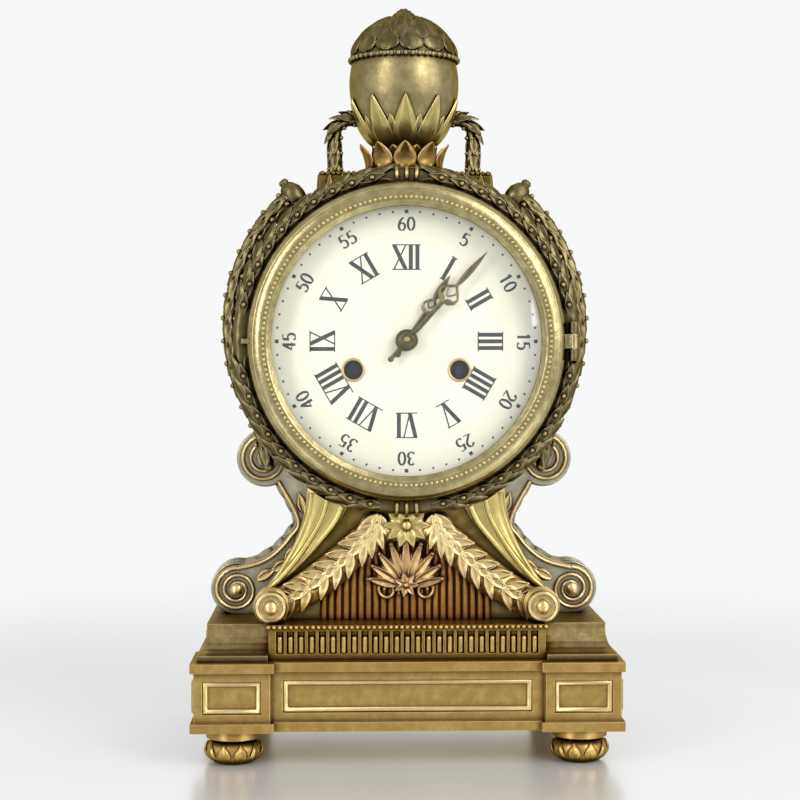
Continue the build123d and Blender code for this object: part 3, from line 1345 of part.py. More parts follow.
# Pallet cock: the bridge on the back plate that carries the pallet arbor and the pendulum
cock_front = BACK_FACE + COCK_STANDOFF
cock_rear = cock_front + COCK_THICKNESS
block_rear = PENDULUM_Y + 1.9
SPRING_SLOT = 0.9
with BuildPart() as pallet_cock:
    block((-11, 11), (cock_front, cock_rear), (DRUM_Z + anchor_at[1] - 4, DRUM_Z + anchor_at[1] + 5))
    for side in (-1, 1):
        rod((side * 9, anchor_at[1] + 2.5), 2.0, BACK_FACE, cock_front)
    block((-2.6, 2.6), (cock_front, block_rear), (DRUM_Z + anchor_at[1] + 0.8, DRUM_Z + anchor_at[1] + 5))
    block(
        (-SPRING_SLOT / 2, SPRING_SLOT / 2),
        (PENDULUM_Y - 1.4, PENDULUM_Y + 1.4),
        (DRUM_Z + anchor_at[1] - 1, DRUM_Z + anchor_at[1] + 2),
        mode=Mode.SUBTRACT,
    )
    rod(anchor_at, pivot_hole, cock_front - 1, cock_rear, mode=Mode.SUBTRACT)
save(pallet_cock.part, "pallet_cock")

# Pallets: the anchor over the escape wheel, its arbor, and the crutch that leads the pendulum
CRUTCH_LENGTH = 31.0
PRONG_RADIUS = 0.45
prong_x = ROD_RADIUS + PRONG_RADIUS + 0.1
crutch_front = BACK_FACE + 0.9
with BuildPart() as pallets:
    with BuildSketch(dial_plane(escape_plane + MOTION_THICKNESS + 0.4, anchor_at)):
        with BuildLine():
            Polyline((0, 2.2), (6.2, -1.6), (8.6, -5.4), (7.4, -5.6), (5.0, -2.8), (0, -1.4), (0, 2.2))
        make_face()
        mirror(about=Plane.YZ)
    extrude(amount=MOTION_THICKNESS + 0.8)
    rod(anchor_at, ARBOR_RADIUS, FRONT_PLATE + END_SHAKE, cock_front - END_SHAKE)
    rod(anchor_at, PIVOT_RADIUS, FRONT_FACE, cock_rear - 0.2)
    block(
        (-1.0, 1.0),
        (crutch_front, crutch_front + 1.0),
        (DRUM_Z + anchor_at[1] - CRUTCH_LENGTH, DRUM_Z + anchor_at[1]),
    )
    block(
        (-prong_x - PRONG_RADIUS, prong_x + PRONG_RADIUS),
        (crutch_front, crutch_front + 1.0),
        (DRUM_Z + anchor_at[1] - CRUTCH_LENGTH - 2, DRUM_Z + anchor_at[1] - CRUTCH_LENGTH),
    )
    for side in (-1, 1):
        rod(
            (side * prong_x, anchor_at[1] - CRUTCH_LENGTH - 1),
            PRONG_RADIUS,
            crutch_front,
            PENDULUM_Y + ROD_RADIUS + 0.6,
        )
save(pallets.part, "pallets")

# Pendulum: a suspension strip, a rod, a lens-shaped bob that slides on it, and the nut that sets it
strip_top = DRUM_Z + anchor_at[1] + 1.4
strip_foot = DRUM_Z + anchor_at[1] - 6.0
bob_z = DRUM_Z + anchor_at[1] - BOB_DROP
nut_top = bob_z - BOB_RADIUS - 0.2
with BuildPart() as suspension_spring:
    block(
        (-SPRING_STRIP / 2, SPRING_STRIP / 2),
        (PENDULUM_Y - 1.2, PENDULUM_Y + 1.2),
        (strip_foot, strip_top),
    )
save(suspension_spring.part, "suspension_spring")

with BuildPart() as pendulum_rod:
    block((-1.8, 1.8), (PENDULUM_Y - 1.6, PENDULUM_Y + 1.6), (strip_foot - 2.5, strip_foot))
    pin(0, PENDULUM_Y, ROD_RADIUS, nut_top - NUT_HEIGHT - 2.2, strip_foot - 2)
save(pendulum_rod.part, "pendulum_rod")

bob_axis = Axis((0, 0, bob_z), (0, 1, 0))
bob_middle = dome_point(BOB_RADIUS, BOB_THICKNESS / 2 - 0.5)
with BuildPart() as pendulum_bob:
    with BuildSketch(Plane.XY.offset(bob_z)):
        with BuildLine():
            rear = PENDULUM_Y + 0.5
            front = PENDULUM_Y - 0.5
            crown = BOB_THICKNESS / 2
            ThreePointArc(
                (0, PENDULUM_Y + crown), (bob_middle[0], rear + bob_middle[1]), (BOB_RADIUS, rear)
            )
            Line((BOB_RADIUS, rear), (BOB_RADIUS, front))
            ThreePointArc(
                (BOB_RADIUS, front), (bob_middle[0], front - bob_middle[1]), (0, PENDULUM_Y - crown)
            )
            Line((0, PENDULUM_Y - crown), (0, PENDULUM_Y + crown))
        make_face()
    revolve(axis=bob_axis)
    pin(
        0,
        PENDULUM_Y,
        ROD_RADIUS + SEAT_GAP,
        bob_z - 2 * BOB_RADIUS,
        bob_z + 2 * BOB_RADIUS,
        mode=Mode.SUBTRACT,
    )
save(pendulum_bob.part, "pendulum_bob")

with BuildPart() as rating_nut:
    pin(0, PENDULUM_Y, NUT_RADIUS, nut_top - NUT_HEIGHT, nut_top)
    pin(
        0,
        PENDULUM_Y,
        ROD_RADIUS + PIVOT_CLEARANCE,
        nut_top - 2 * NUT_HEIGHT,
        nut_top + 1,
        mode=Mode.SUBTRACT,
    )
save(rating_nut.part, "rating_nut")

# Bell: a dished bronze bell behind the movement, on a cranked stand
bell_crown = BELL_RIM + BELL_DEPTH
bell_outer = dome_point(BELL_RADIUS, BELL_DEPTH)
bell_inner = dome_point(BELL_RADIUS - BELL_WALL, BELL_DEPTH - BELL_WALL)
STUD_RADIUS = 1.4
with BuildPart() as bell:
    with BuildSketch(Plane.XY.offset(DRUM_Z)):
        with BuildLine():
            ThreePointArc(
                (0, bell_crown), (bell_outer[0], BELL_RIM + bell_outer[1]), (BELL_RADIUS, BELL_RIM)
            )
            Line((BELL_RADIUS, BELL_RIM), (BELL_RADIUS - BELL_WALL, BELL_RIM))
            ThreePointArc(
                (BELL_RADIUS - BELL_WALL, BELL_RIM),
                (bell_inner[0], BELL_RIM + bell_inner[1]),
                (0, bell_crown - BELL_WALL),
            )
            Line((0, bell_crown - BELL_WALL), (0, bell_crown))
        make_face()
    revolve(axis=DRUM_AXIS)
    rod(centre_at, STUD_RADIUS + PIVOT_CLEARANCE, BELL_RIM, bell_crown + 1, mode=Mode.SUBTRACT)
save(bell.part, "bell")

bell_post_at = (BELL_POST_X, -6.0)
arm_rear = bell_crown - BELL_WALL - 3.4
with BuildPart() as bell_stand:
    rod(bell_post_at, BELL_POST_RADIUS, BACK_FACE, arm_rear)
    with BuildSketch(dial_plane(arm_rear)):
        with BuildLine():
            Polyline(
                shifted(bell_post_at, 1.6, 60), shifted((0, 0), 1.6, 60), shifted((0, 0), 1.6, 240),
                shifted(bell_post_at, 1.6, 240), close=True,
            )
        make_face()
        with Locations(bell_post_at, centre_at):
            Circle(BELL_POST_RADIUS)
    extrude(amount=1.6)
    rod(centre_at, STUD_RADIUS + 1, arm_rear - 1.6, bell_crown - BELL_WALL - SEAT_GAP)
    rod(centre_at, STUD_RADIUS, arm_rear - 1.6, bell_crown + 0.8)
save(bell_stand.part, "bell_stand")

# Hammer: its arbor between the plates, a short lifting tail, and the arm and head beside the bell
tail_plane = fast_plane + WHEEL_THICKNESS + 0.1
hammer_front = BELL_RIM - 1.5
tail_length = math.dist(HAMMER_AT, pin_wheel_at) - pin_circle - 0.9 - PIN_RADIUS - FACE_GAP
head_angle = heading(HAMMER_AT, HAMMER_HEAD_AT)
with BuildPart() as hammer:
    rod(HAMMER_AT, ARBOR_RADIUS, FRONT_PLATE + END_SHAKE, hammer_front + 2)
    rod(HAMMER_AT, PIVOT_RADIUS, FRONT_FACE, FRONT_PLATE + 1)
    with BuildSketch(dial_plane(tail_plane + 0.9)):
        with BuildLine():
            tail_angle = heading(HAMMER_AT, pin_wheel_at)
            Polyline(
                shifted(HAMMER_AT, 1.2, tail_angle + 90), shifted(HAMMER_AT, tail_length, tail_angle),
                shifted(HAMMER_AT, 1.2, tail_angle - 90), close=True,
            )
        make_face()
    extrude(amount=0.9)
    with BuildSketch(dial_plane(hammer_front + 2)):
        with BuildLine():
            Polyline(
                shifted(HAMMER_AT, 1.3, head_angle + 90), shifted(HAMMER_HEAD_AT, 0.8, head_angle + 90),
                shifted(HAMMER_HEAD_AT, 0.8, head_angle - 90), shifted(HAMMER_AT, 1.3, head_angle - 90),
                close=True,
            )
        make_face()
        with Locations(HAMMER_AT):
            Circle(ARBOR_RADIUS + 1.2)
    extrude(amount=1.6)
    rod(HAMMER_HEAD_AT, HAMMER_HEAD_RADIUS, hammer_front - 0.5, hammer_front + 5)
save(hammer.part, "hammer")
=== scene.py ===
import json
import math

import bmesh
import bpy
from mathutils import Matrix, Vector, geometry

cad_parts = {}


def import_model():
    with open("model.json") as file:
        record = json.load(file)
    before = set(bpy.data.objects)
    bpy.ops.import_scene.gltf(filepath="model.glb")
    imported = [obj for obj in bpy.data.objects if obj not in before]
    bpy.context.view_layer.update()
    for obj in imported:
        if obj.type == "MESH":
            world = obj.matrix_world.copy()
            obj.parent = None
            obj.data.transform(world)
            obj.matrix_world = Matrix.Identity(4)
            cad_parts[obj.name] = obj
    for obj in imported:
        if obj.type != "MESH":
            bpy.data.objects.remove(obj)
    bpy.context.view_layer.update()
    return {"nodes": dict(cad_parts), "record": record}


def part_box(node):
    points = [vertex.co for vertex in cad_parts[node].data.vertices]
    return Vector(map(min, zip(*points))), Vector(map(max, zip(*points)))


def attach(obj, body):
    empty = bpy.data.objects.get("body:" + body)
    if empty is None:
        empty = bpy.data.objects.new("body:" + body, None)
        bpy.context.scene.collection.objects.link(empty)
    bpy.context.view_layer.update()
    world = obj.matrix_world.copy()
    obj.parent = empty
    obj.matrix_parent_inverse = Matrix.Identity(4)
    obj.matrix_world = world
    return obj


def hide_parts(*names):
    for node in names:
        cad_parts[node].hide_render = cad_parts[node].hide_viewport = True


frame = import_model()

# Scale: lengths below are in millimetres unless a heading says otherwise
MM = 0.001
UP = Vector((0, 0, 1))
FRONT = Vector((0, -1, 0))
BACK = Vector((0, 1, 0))
SIDES = (-1, 1)
LEFT_RIGHT = ((-1, "left"), (1, "right"))


def node_box(node):
    """Lowest and highest corner of a CAD node"""
    return [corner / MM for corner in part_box(node)]


dial_low, dial_high = node_box("dial")
frieze_low, frieze_high = node_box("fluted_frieze")
pedestal_low = node_box("pedestal")[0]
saddle_high = node_box("urn_base")[1]
cup_high = node_box("urn_body")[1]

# Shares of the leaf, rope, flower, bead, pitch, digit or hand that they belong to
LAUREL_PITCH = 0.44
LAUREL_SINK = 0.75
BERRY_RISE = 0.7
PETAL_ROOT = 0.15
PETAL = (0.85, 0.62)
FLOWER_EYE = 0.3
TIE_LIFT = 0.6
GARLAND_CORE = 0.75
SWAG_CORE = 0.7
BEZEL_BEAD_PITCH = 2.2
PEARL_PITCH = 2.1
CABLE_SINK = 0.7
SADDLE_LEAF_WIDTH = 0.96
REED_WIDTH = 0.96
DIGIT_STEP = 0.68
DIGIT_MARGIN = 0.04
HAND_TAIL = 0.2
HAND_LOOP_HALF = 0.085
HUB_CIRCLE = 0.78
HUB_WIRE = 0.2
HUB_EDGE = 0.8

# Leaves, petals and ribs, and the turn in radians that a bead's flat poles cut off
LAUREL_CURL = 0.3
PETAL_HEIGHT = 0.9
PETAL_CURL = 0.3
FLOWER_EYE_RISE = 0.5
RIB_SINK = 0.1
BEAD_POLE = 0.2

# Drum, ring, bezel and door
DRUM_Z = (dial_low.z + dial_high.z) / 2
DRUM_RADIUS = 55.0
RING_ROLL_RADIUS = 56.9
RING_ROLL = 2.6
RING_ROLL_Y = -28.6
WREATH_LEAF = (8.2, 4.9, 1.0)
WREATH_TURNS = (-58, 0, 58)
WREATH_LEAN = 0.13
WREATH_BERRY = 1.0
WREATH_END = 81.0
HINGE_GAP = 9.0
TIE_STEP = 3.4
TIE_THICKNESS = 0.7
BEZEL_BEAD_RADIUS = 0.8
BEZEL_BEAD_CIRCLE = 48.9
BEZEL_BEAD_Y = -36.6
BEZEL_FILLET_CIRCLE = 52.2
BEZEL_FILLET_Y = -35.6
BEZEL_FILLET = 0.5
DRUM_BANDS_Y = (-23.2, 32.4)
DRUM_BAND = 1.0
DRUM_BAND_RISE = 0.3
DRUM_PEARLS_Y = 26.5
DRUM_PEARLS = (-40, 220)
DRUM_PEARL_STEP = 2
DRUM_PEARL_RADIUS = 0.8
DOOR_FACE_Y = 37.7
DOOR_HOOPS = (12.0, 31.0, 41.0)
DOOR_HOOP = (0.8, 0.8)
DOOR_FLOWER = 9.0
DOOR_PETALS = 12

# Dial
DIAL_FACE = -28.2
DIAL_DOME = 0.5
DIAL_RADIUS = 50.2
PAINT_HEIGHT = 0.05
HOUR_CIRCLE = 28.8
HOUR_HEIGHT = 8.4
HOUR_BOLD = 1.35
HOUR_THIN = 0.38
MINUTE_CIRCLE = 40.2
MINUTE_HEIGHT = 4.6
MINUTE_BOLD = 0.85
MINUTE_THIN = 0.36
DOT_CIRCLE = 44.4
DOT_RADIUS = 0.34
FIVE_DOT_RADIUS = 0.62
WINDING_AT = ((-18.2, -9.8), (18.2, -9.8))
WINDING_HOLE = 3.7
GROMMET = (0.5, 0.8)
GROMMET_RISE = 0.1

# Hands: each has its turn in degrees, depth, length, hub, loop as shares of the length, and tip
HANDS = (
    ("hour", 33.5, -29.9, 27.0, 4.0, (0.42, 0.52, 0.64), 2.6),
    ("minute", 42.0, -31.7, 41.0, 3.1, (0.44, 0.52, 0.62), 2.2),
)
HAND_HALF_THICKNESS = 0.28
HAND_STEM = 1.6
HAND_TAIL_WIDTH = 1.5
HAND_LOOP_WIRE = 0.9
HAND_INNER_WIRE = 0.6
HAND_TAIL_BEAD = 1.1
HAND_TIP_BEAD = 0.75

# Garlands and swags
GARLAND_Y = -14.5
GARLAND_RISE = 5.0
GARLAND_ROPE = 2.8
GARLAND_TOP = 127.5
GARLAND_END = 204.0
GARLAND_END_RADIUS = 58.1
GARLAND_DROP = 20.0
GARLAND_LEAF = (8.6, 5.0, 0.9)
GARLAND_LEAN = 0.07
GARLAND_BERRY = 1.0
GARLAND_DROP_BEAD = 2.1
GARLAND_TURNS = (-60, -15, 30, 75, 120, 165)
BOSS_ROOT = 55.3
BOSS_PROFILE = (
    (3.4, -0.6), (3.4, 1.8), (2.5, 2.8), (2.6, 3.8), (3.6, 5.6), (4.1, 8.4),
    (3.9, 10.8), (2.6, 13.0), (1.6, 13.9), (1.8, 14.7), (1.2, 15.6), (0.2, 15.8),
)
BOSS_FLOWER = 5.6
BOSS_FLOWER_RISE = 5.4
BOSS_PETALS = 9
SWAG_ROPE = 2.0
SWAG_LEAF = (6.4, 3.8, 0.8)
SWAG_LEAN = 0.12
SWAG_BERRY = 0.8
SWAG_TURNS = (0, 60, 120, 180, 240, 300)
SWAG_LINE = ((14.6, 222.0), (18.6, 222.5), (22.9, 220.8), (24.6, 216.5), (24.6, 204.5))
SWAG_FOOT = ((2.6, 0.1), (2.8, 1.0), (2.0, 1.8), (1.6, 2.6), (2.0, 3.2), (0.4, 3.9))

# Urn: the lid's dome is part of a circle in its (radius, height) section
CUP_LEAVES = 10
CUP_LEAF = ((8.8, 211.8), (12.3, 215.0), (15.2, 219.0), (17.8, 224.0), (19.6, 229.0))
CUP_UNDERLEAF = ((8.8, 211.8), (12.1, 215.0), (15.0, 219.0), (17.0, 222.6))
STEM_LEAF = ((13.4, 203.8), (13.0, 206.8), (14.2, 210.2), (16.4, 213.2))
STEM_UNDERLEAF = ((12.0, 203.8), (11.6, 207.2), (12.4, 210.2), (13.8, 212.2))
CUP_LEAF_SIZE = (8.4, 1.2)
CUP_UNDERLEAF_SIZE = (6.0, 0.9)
STEM_LEAF_SIZE = (8.2, 1.0)
STEM_UNDERLEAF_SIZE = (6.4, 1.0)
STEM_RING = (15.3, 203.2)
STEM_BEADS = 46
STEM_BEAD = 0.95
RIM_BEADS = 48
RIM_BEAD = 1.0
RIM_BEAD_INSET = 0.4
RIM_BEAD_DROP = 0.7
LID_LEAVES = 13
LID_CENTRE = (-0.14, 239.03)
LID_ROLL = 19.58
LID_LIFT = (0.0, 0.2, 0.4, 0.8)
LID_LEAF_HEIGHT = 1.0
LID_ROWS = (
    (0.0, (16, 23, 32, 42), 8.8),
    (0.5, (30, 39, 49, 58), 7.4),
    (0.0, (47, 56, 64, 71), 4.8),
)
BUD_ROWS = ((258.0, 4.6, 12), (259.2, 3.3, 9), (260.2, 2.1, 6), (261.0, 0.8, 3))
BUD_BEAD = 0.95
SADDLE_LEAVES = (6, 3)
SADDLE_BEADS = (16, 8)
SADDLE_PITCH = 4.4
SADDLE_LEAF_HEIGHT = 1.0
SADDLE_LEAF_CURL = 0.3
SADDLE_MARGIN = 0.6
SADDLE_BEAD = 0.9
SADDLE_BEAD_PITCH = 1.8
SADDLE_BEAD_DROP = 0.4

# Pedestal, legs and consoles
PEDESTAL_FRONT = pedestal_low.y
PEDESTAL_Z = pedestal_low.z
LEG_INNER = ((7, 83.4), (8.0, 77.0), (12.0, 70.2), (19.0, 62.0), (27.6, 55.0), (37.2, 49.0))
LEG_BAND = ((11.6, 84.0), (14.4, 80.2), (20.4, 75.4), (29.6, 68.8), (39.6, 61.6), (49.0, 56.2))
LEG_SPLIT = ((20.0, 86.4), (23.0, 80.6), (28.0, 74.8), (34.2, 68.4), (41.2, 62.2), (49.2, 56.4))
LEG_OUTER = ((34.2, 92.8), (35.0, 84.5), (37.6, 76), (41.6, 67.6), (46.0, 60.2), (50.4, 54.6))
LEG_GROUND = 3.0
LEG_BAND_HEIGHT = (4.0, 3.2)
LEG_FLANK_HEIGHT = (3.6, 1.8)
LEG_RIBS = (0.12, 0.5, 0.88)
LEG_RIB = (2.0, 1.2)
LEG_RIB_SINK = 0.2
LEG_END_DROP = 1.5
LEG_END_POWER = 5
LEG_CROWN_POWER = 0.7
LEG_LOBES = 9
LEG_LOBE_START = 0.3
LEG_LOBE = (9.0, 5.2, 1.6)
LEG_LOBE_SPREAD = 40.0
LEG_LOBE_LEAN = 0.12
LEG_LOBE_CURL = 1.0
LEG_LOBE_SINK = 0.5
LEG_FOOT = (46.4, 52.5)
LEG_FOOT_RADIUS = 5.6
LEG_FOOT_HOOPS = (-25.5, -29.5, -33.5)
LEG_FOOT_HOOP = 0.55
LEG_FOOT_PROFILE = (
    (5.2, 0), (5.6, 2), (5.6, 14.6), (5.1, 15.8), (4.3, 16.0),
    (3.9, 15.3), (2.6, 15.3), (2.3, 16.1), (1.4, 16.8), (0.2, 17),
)
ARCH_HALF_WIDTH = 31.0
ARCH_TOP = 72.4
ARCH_SHOULDER = 52.5
REED_PITCH = 2.6
REED_HEIGHT = 1.3
REED_OVERLAP = 1.0
PALMETTE_FOOT = 57.4
PALMETTE_LEAVES = 4
PALMETTE_FAN = 19.0
PALMETTE_LEAF = (15.6, 4.6, 1.5)
PALMETTE_SHORTENING = 1.1
PALMETTE_ROOT = 3
PALMETTE_RISE = 1.2
PALMETTE_CURL = 1.2
PALMETTE_BEAD_INSET = 1.2
PALMETTE_BEAD = 0.9
PALMETTE_BEAD_RISE = 1.4
PALMETTE_SCROLL = (6.4, 56.6, 4.2)
PALMETTE_SCROLL_RISE = 1.3
PALMETTE_WINDING = (200, 560, 0.25)
PALMETTE_FLOWER = 4.4
PALMETTE_FLOWER_RISE = 2.4
PALMETTE_FLOWER_LIFT = 1
PALMETTE_PETALS = 7
CLASP_Z = 79.8
CLASP_PROFILE = ((4.6, -0.2), (4.8, 1.5), (3.4, 3.2), (3.2, 6.4), (3.9, 7.2), (3.3, 7.6))
CLASP_FLOWER = 7.8
CLASP_FLOWER_RISE = 7.8
CLASP_PETALS = 10
CONSOLE_FACES = ((-8.0, FRONT), (14.0, BACK))
SPIRAL_LINE = (1.6, 1.1)
UPPER_VOLUTE = (49.56, 101.4, 8.5)
LOWER_VOLUTE = (59.6, 54.9, 7.8)
VOLUTE_WINDING = (90, 800, 0.26)
VOLUTE_EYE = 2.4
VOLUTE_EYE_FLATNESS = 0.6
VOLUTE_EYE_RISE = 0.9
CONSOLE_SPINE = ((52.4, 58.6), (44.6, 63.4), (38.8, 70.4), (35.2, 78.0), (36.8, 85.0), (41.6, 92.4))
CONSOLE_LEAF = (7.4, 4.4, 1.0)
CONSOLE_LEAF_PITCH = 6.2
CONSOLE_LEAF_CURL = 0.4
CONSOLE_RIM_LINE = (1.6, 1.0)
CONSOLE_MIDDLE_Y = 3.0
CONSOLE_STEP = 1.0
CONSOLE_HUSK = (9.6, 1.6)
CONSOLE_HUSK_PITCH = 6
CONSOLE_HUSK_LENGTH = 10
CONSOLE_RIM_INSET = 1.1
VOLUTE_HOOPS_Y = (-4.0, 3.0, 10.0)
VOLUTE_HOOP = 0.6
CONSOLE_RIM = (
    (44.6, 93.4), (37.6, 79.6), (40.7, 73.4), (44.2, 69.2), (48.2, 66.0), (52.8, 63.9), (59.6, 62.4),
)

# Plinth and feet
PANEL_Z = 23.65
PANEL_HEIGHT = 10.9
PANELS = (
    (0, (0, -42.6), 84.0), (0, (-59, -45.6), 19.6), (0, (59, -45.6), 19.6),
    (180, (0, 42.6), 84.0), (180, (-59, 45.6), 19.6), (180, (59, 45.6), 19.6),
    (90, (68.8, 0), 37.0), (90, (71.8, -35), 17.6), (90, (71.8, 35), 17.6),
    (270, (-68.8, 0), 37.0), (270, (-71.8, -35), 17.6), (270, (-71.8, 35), 17.6),
)
PANEL_PROFILE = ((0.1, -0.2), (0.1, 0.7), (0.7, 1.0), (1.3, 0.7), (1.7, 0.3), (1.9, -0.2))
FEET_AT = ((-59, -35), (59, -35), (-59, 35), (59, 35))
FOOT_LEAVES = 10
FOOT_LEAF_SIZE = (5.0, 0.7)
FOOT_LEAF = ((6.8, 0.9), (8.9, 2.7), (9.6, 4.8), (8.6, 7.2))
FLUTES = 25
FLUTE_PITCH = 3.6
CABLE_RADIUS = 0.95
CABLE_Z = (37.6, 42.4)
PEARL_RADIUS = 0.9
PEARL_DROP = 0.7

# Stage, lamps and camera: places in metres, turns in degrees, power in watts, the lens in millimetres
FLOOR_RADIUS = 0.55
FLOOR_SIDES = 96
FLOOR_FADE = 0.2
FLOOR_CLEAR = 0.95
WORLD_LIGHT = ((0.98, 0.99, 1.0), 0.56)
WORLD_SEEN = ((0.93, 0.94, 0.94), 1.0)
LAMPS = (
    ("key", (0.74, -0.92, 0.60), (0.45, 0.8), 6.2),
    ("side", (1.0, -0.55, 0.45), (0.2, 0.8), 2.0),
    ("fill", (-0.75, -0.82, 0.45), (0.25, 0.8), 4.9),
    ("top", (0.50, -0.50, 0.95), (0.4, 0.4), 1.4),
)
LAMP_AIM = (0, 0, 0.13)
CAMERA_AT = (-0.020, -0.638, 0.140)
CAMERA_TILT = 1.61
CAMERA_TURN = 1.67
CAMERA_SENSOR = 36.0
CAMERA_LENS = 79.9


# Building blocks
def shares(count):
    """Evenly spaced numbers from 0 to 1"""
    return [i / count for i in range(count + 1)]


def circle(count):
    """Evenly spaced turns round a circle"""
    return [2 * math.pi * i / count for i in range(count)]


def both_ways(count):
    """Whole numbers on both sides of 0, as far as count"""
    return range(-count, count + 1)


def around(radius, degrees, y):
    """Point on a circle about the drum's axis, anticlockwise from the right"""
    turn = math.radians(degrees)
    return Vector((radius * math.cos(turn), y, DRUM_Z + radius * math.sin(turn)))


def curve(points, steps=5):
    """Smooth line through the given points"""
    knots = [Vector(p) for p in points]
    last = len(knots) - 1
    line = []
    for i in range(last):
        start, end = knots[i], knots[i + 1]
        leave = (end - knots[max(i - 1, 0)]) / 6
        arrive = (knots[min(i + 2, last)] - start) / 6
        line += geometry.interpolate_bezier(start, start + leave, end - arrive, end, steps + 1)[:-1]
    return line + [knots[-1]]


def upright(points, y):
    """Points of an (x, z) outline, set at a depth"""
    return [Vector((x, y, z)) for x, z in points]


def stations(line, pitch):
    """Points and directions at even steps along a line"""
    found = []
    spare = 0.0
    for start, end in zip(line, line[1:]):
        step = end - start
        while spare < step.length:
            found.append((start + step * (spare / step.length), step.normalized()))
            spare += pitch
        spare -= step.length
    return found


class Shape:
    """Closed forms gathered into one piece"""

    def __init__(self):
        self.points = []
        self.faces = []

    def loft(self, rings, place=Matrix(), loop=False):
        """Skin over rings of points, capped at its ends unless the rings make a loop"""
        size = len(rings[0])
        count = len(rings)
        first = len(self.points)
        self.points += [place @ Vector(p) for ring in rings for p in ring]
        faces = []
        for row in range(count if loop else count - 1):
            after = (row + 1) % count
            for i in range(size):
                j = (i + 1) % size
                faces.append((row * size + i, row * size + j, after * size + j, after * size + i))
        if not loop:
            faces.append(range(size))
            faces.append(range((count - 1) * size, count * size))
        self.faces += [[first + i for i in face] for face in faces]

    def piece(self, name, look, body="case", slot="gilt_bronze", replaces=(), sharp=40):
        """Blender object that rides on a body"""
        mesh = bpy.data.meshes.new(name)
        mesh.from_pydata([p * MM for p in self.points], [], self.faces)
        work = bmesh.new()
        work.from_mesh(mesh)
        bmesh.ops.recalc_face_normals(work, faces=work.faces)
        work.to_mesh(mesh)
        work.free()
        mesh.shade_smooth()
        mesh.set_sharp_from_angle(angle=math.radians(sharp))
        mesh.materials.append(look)
        piece = bpy.data.objects.new(name, mesh)
        bpy.context.scene.collection.objects.link(piece)
        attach(piece, body)
        if replaces:
            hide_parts(*replaces)


def sweep(shape, line, normal, section):
    """Carries a section along a flat line; at each share of the way it gives (across, along normal) points"""
    normal = Vector(normal)
    last = len(line) - 1
    rings = []
    for i, at in enumerate(line):
        across = normal.cross(line[min(i + 1, last)] - line[max(i - 1, 0)]).normalized()
        rings.append([at + across * u + normal * v for u, v in section(i / last)])
    shape.loft(rings)


def facing(at, axis):
    """Placement whose z runs along an axis"""
    return Matrix.Translation(at) @ Vector(axis).to_track_quat("Z", "Y").to_matrix().to_4x4()


def turned(shape, profile, place, sides=40, loop=False):
    """Lathe-turned form about the placement's z, from (radius, height) points"""
    rings = [[(r * math.cos(a), r * math.sin(a), h) for a in circle(sides)] for r, h in profile]
    shape.loft(rings, place, loop)


def hoop(shape, at, axis, radius, thick, flat=1.0, sides=36):
    """Round ring about an axis"""
    profile = [(radius + thick * math.cos(a), flat * thick * math.sin(a)) for a in circle(8)]
    turned(shape, profile, facing(at, axis), sides, loop=True)


def bead(shape, at, radius, axis=FRONT, flat=1.0):
    """Small round bead"""
    turns = [BEAD_POLE + t * (math.pi - 2 * BEAD_POLE) for t in shares(5)]
    profile = [(radius * math.sin(a), -flat * radius * math.cos(a)) for a in turns]
    turned(shape, profile, facing(at, axis), 10)


def rod(radius):
    """Round section for a sweep"""
    return lambda share: [(radius * math.cos(a), radius * math.sin(a)) for a in circle(10)]


def half_round(width, height):
    """Section of a rib that lies on a surface"""
    turns = [math.pi * t for t in shares(6)]
    return lambda share: [(width / 2 * math.cos(a), height * math.sin(a) - RIB_SINK) for a in turns]


LEAF_SECTION = ((-1, 0), (-0.55, 0.9), (0, 0.5), (0.55, 0.9), (1, 0), (0, -0.4))


def leaf(shape, line, side, width, height):
    """Pointed leaf with a sunk midrib, along a line in the plane square to side"""

    def section(share):
        half = width / 2 * math.sin(math.pi * (0.08 + 0.9 * share) ** 0.85)
        thick = height * (0.3 + 0.7 * math.sin(math.pi * min(0.2 + share * 0.75, 1)))
        return [(v * thick, u * half) for u, v in LEAF_SECTION]

    sweep(shape, line, side, section)


def flat_leaf(shape, at, along, up, size, curl=0.0):
    """Leaf that starts at a point and bends up at its tip"""
    length, width, height = size
    along = Vector(along).normalized()
    side = along.cross(up).normalized()
    rise = side.cross(along)
    line = [at + along * (length * t) + rise * (curl * t * t) for t in shares(6)]
    leaf(shape, line, side, width, height)


def meridian_leaf(shape, profile, degrees, width, height, axis_at=(0, 0)):
    """Leaf that lies on a turned form, along (radius, height) points that go up"""
    turn = math.radians(degrees)
    radial = Vector((math.cos(turn), math.sin(turn), 0))
    line = curve([Vector((*axis_at, z)) + radial * r for r, z in profile], 4)
    leaf(shape, line, (-math.sin(turn), math.cos(turn), 0), width, height)


def laurel(leaves, berries, line, rope, turns, size, berry, lean):
    """Overlapping leaves along a rope; turns are their places round it, in degrees from the front"""
    for i, (at, along) in enumerate(stations(line, size[0] * LAUREL_PITCH)):
        across = FRONT.cross(along)
        for k, degrees in enumerate(turns):
            turn = math.radians(degrees)
            outward = FRONT * math.cos(turn) + across * math.sin(turn)
            if (i + k) % 2:
                root = at + outward * rope * LAUREL_SINK
                flat_leaf(leaves, root, along + outward * lean, outward, size, LAUREL_CURL)
            elif i % 2:
                bead(berries, at + outward * (rope + berry * BERRY_RISE), berry, outward)


def rosette(shape, at, radius, axis, petals=8):
    """Flower of flat petals about a domed middle"""
    turn_to = facing(at, axis).to_3x3()
    for a in circle(petals):
        along = turn_to @ Vector((math.cos(a), math.sin(a), 0))
        size = (radius * PETAL[0], radius * PETAL[1], PETAL_HEIGHT)
        flat_leaf(shape, at + along * radius * PETAL_ROOT, along, axis, size, PETAL_CURL)
    bead(shape, at + axis * FLOWER_EYE_RISE, radius * FLOWER_EYE, axis)


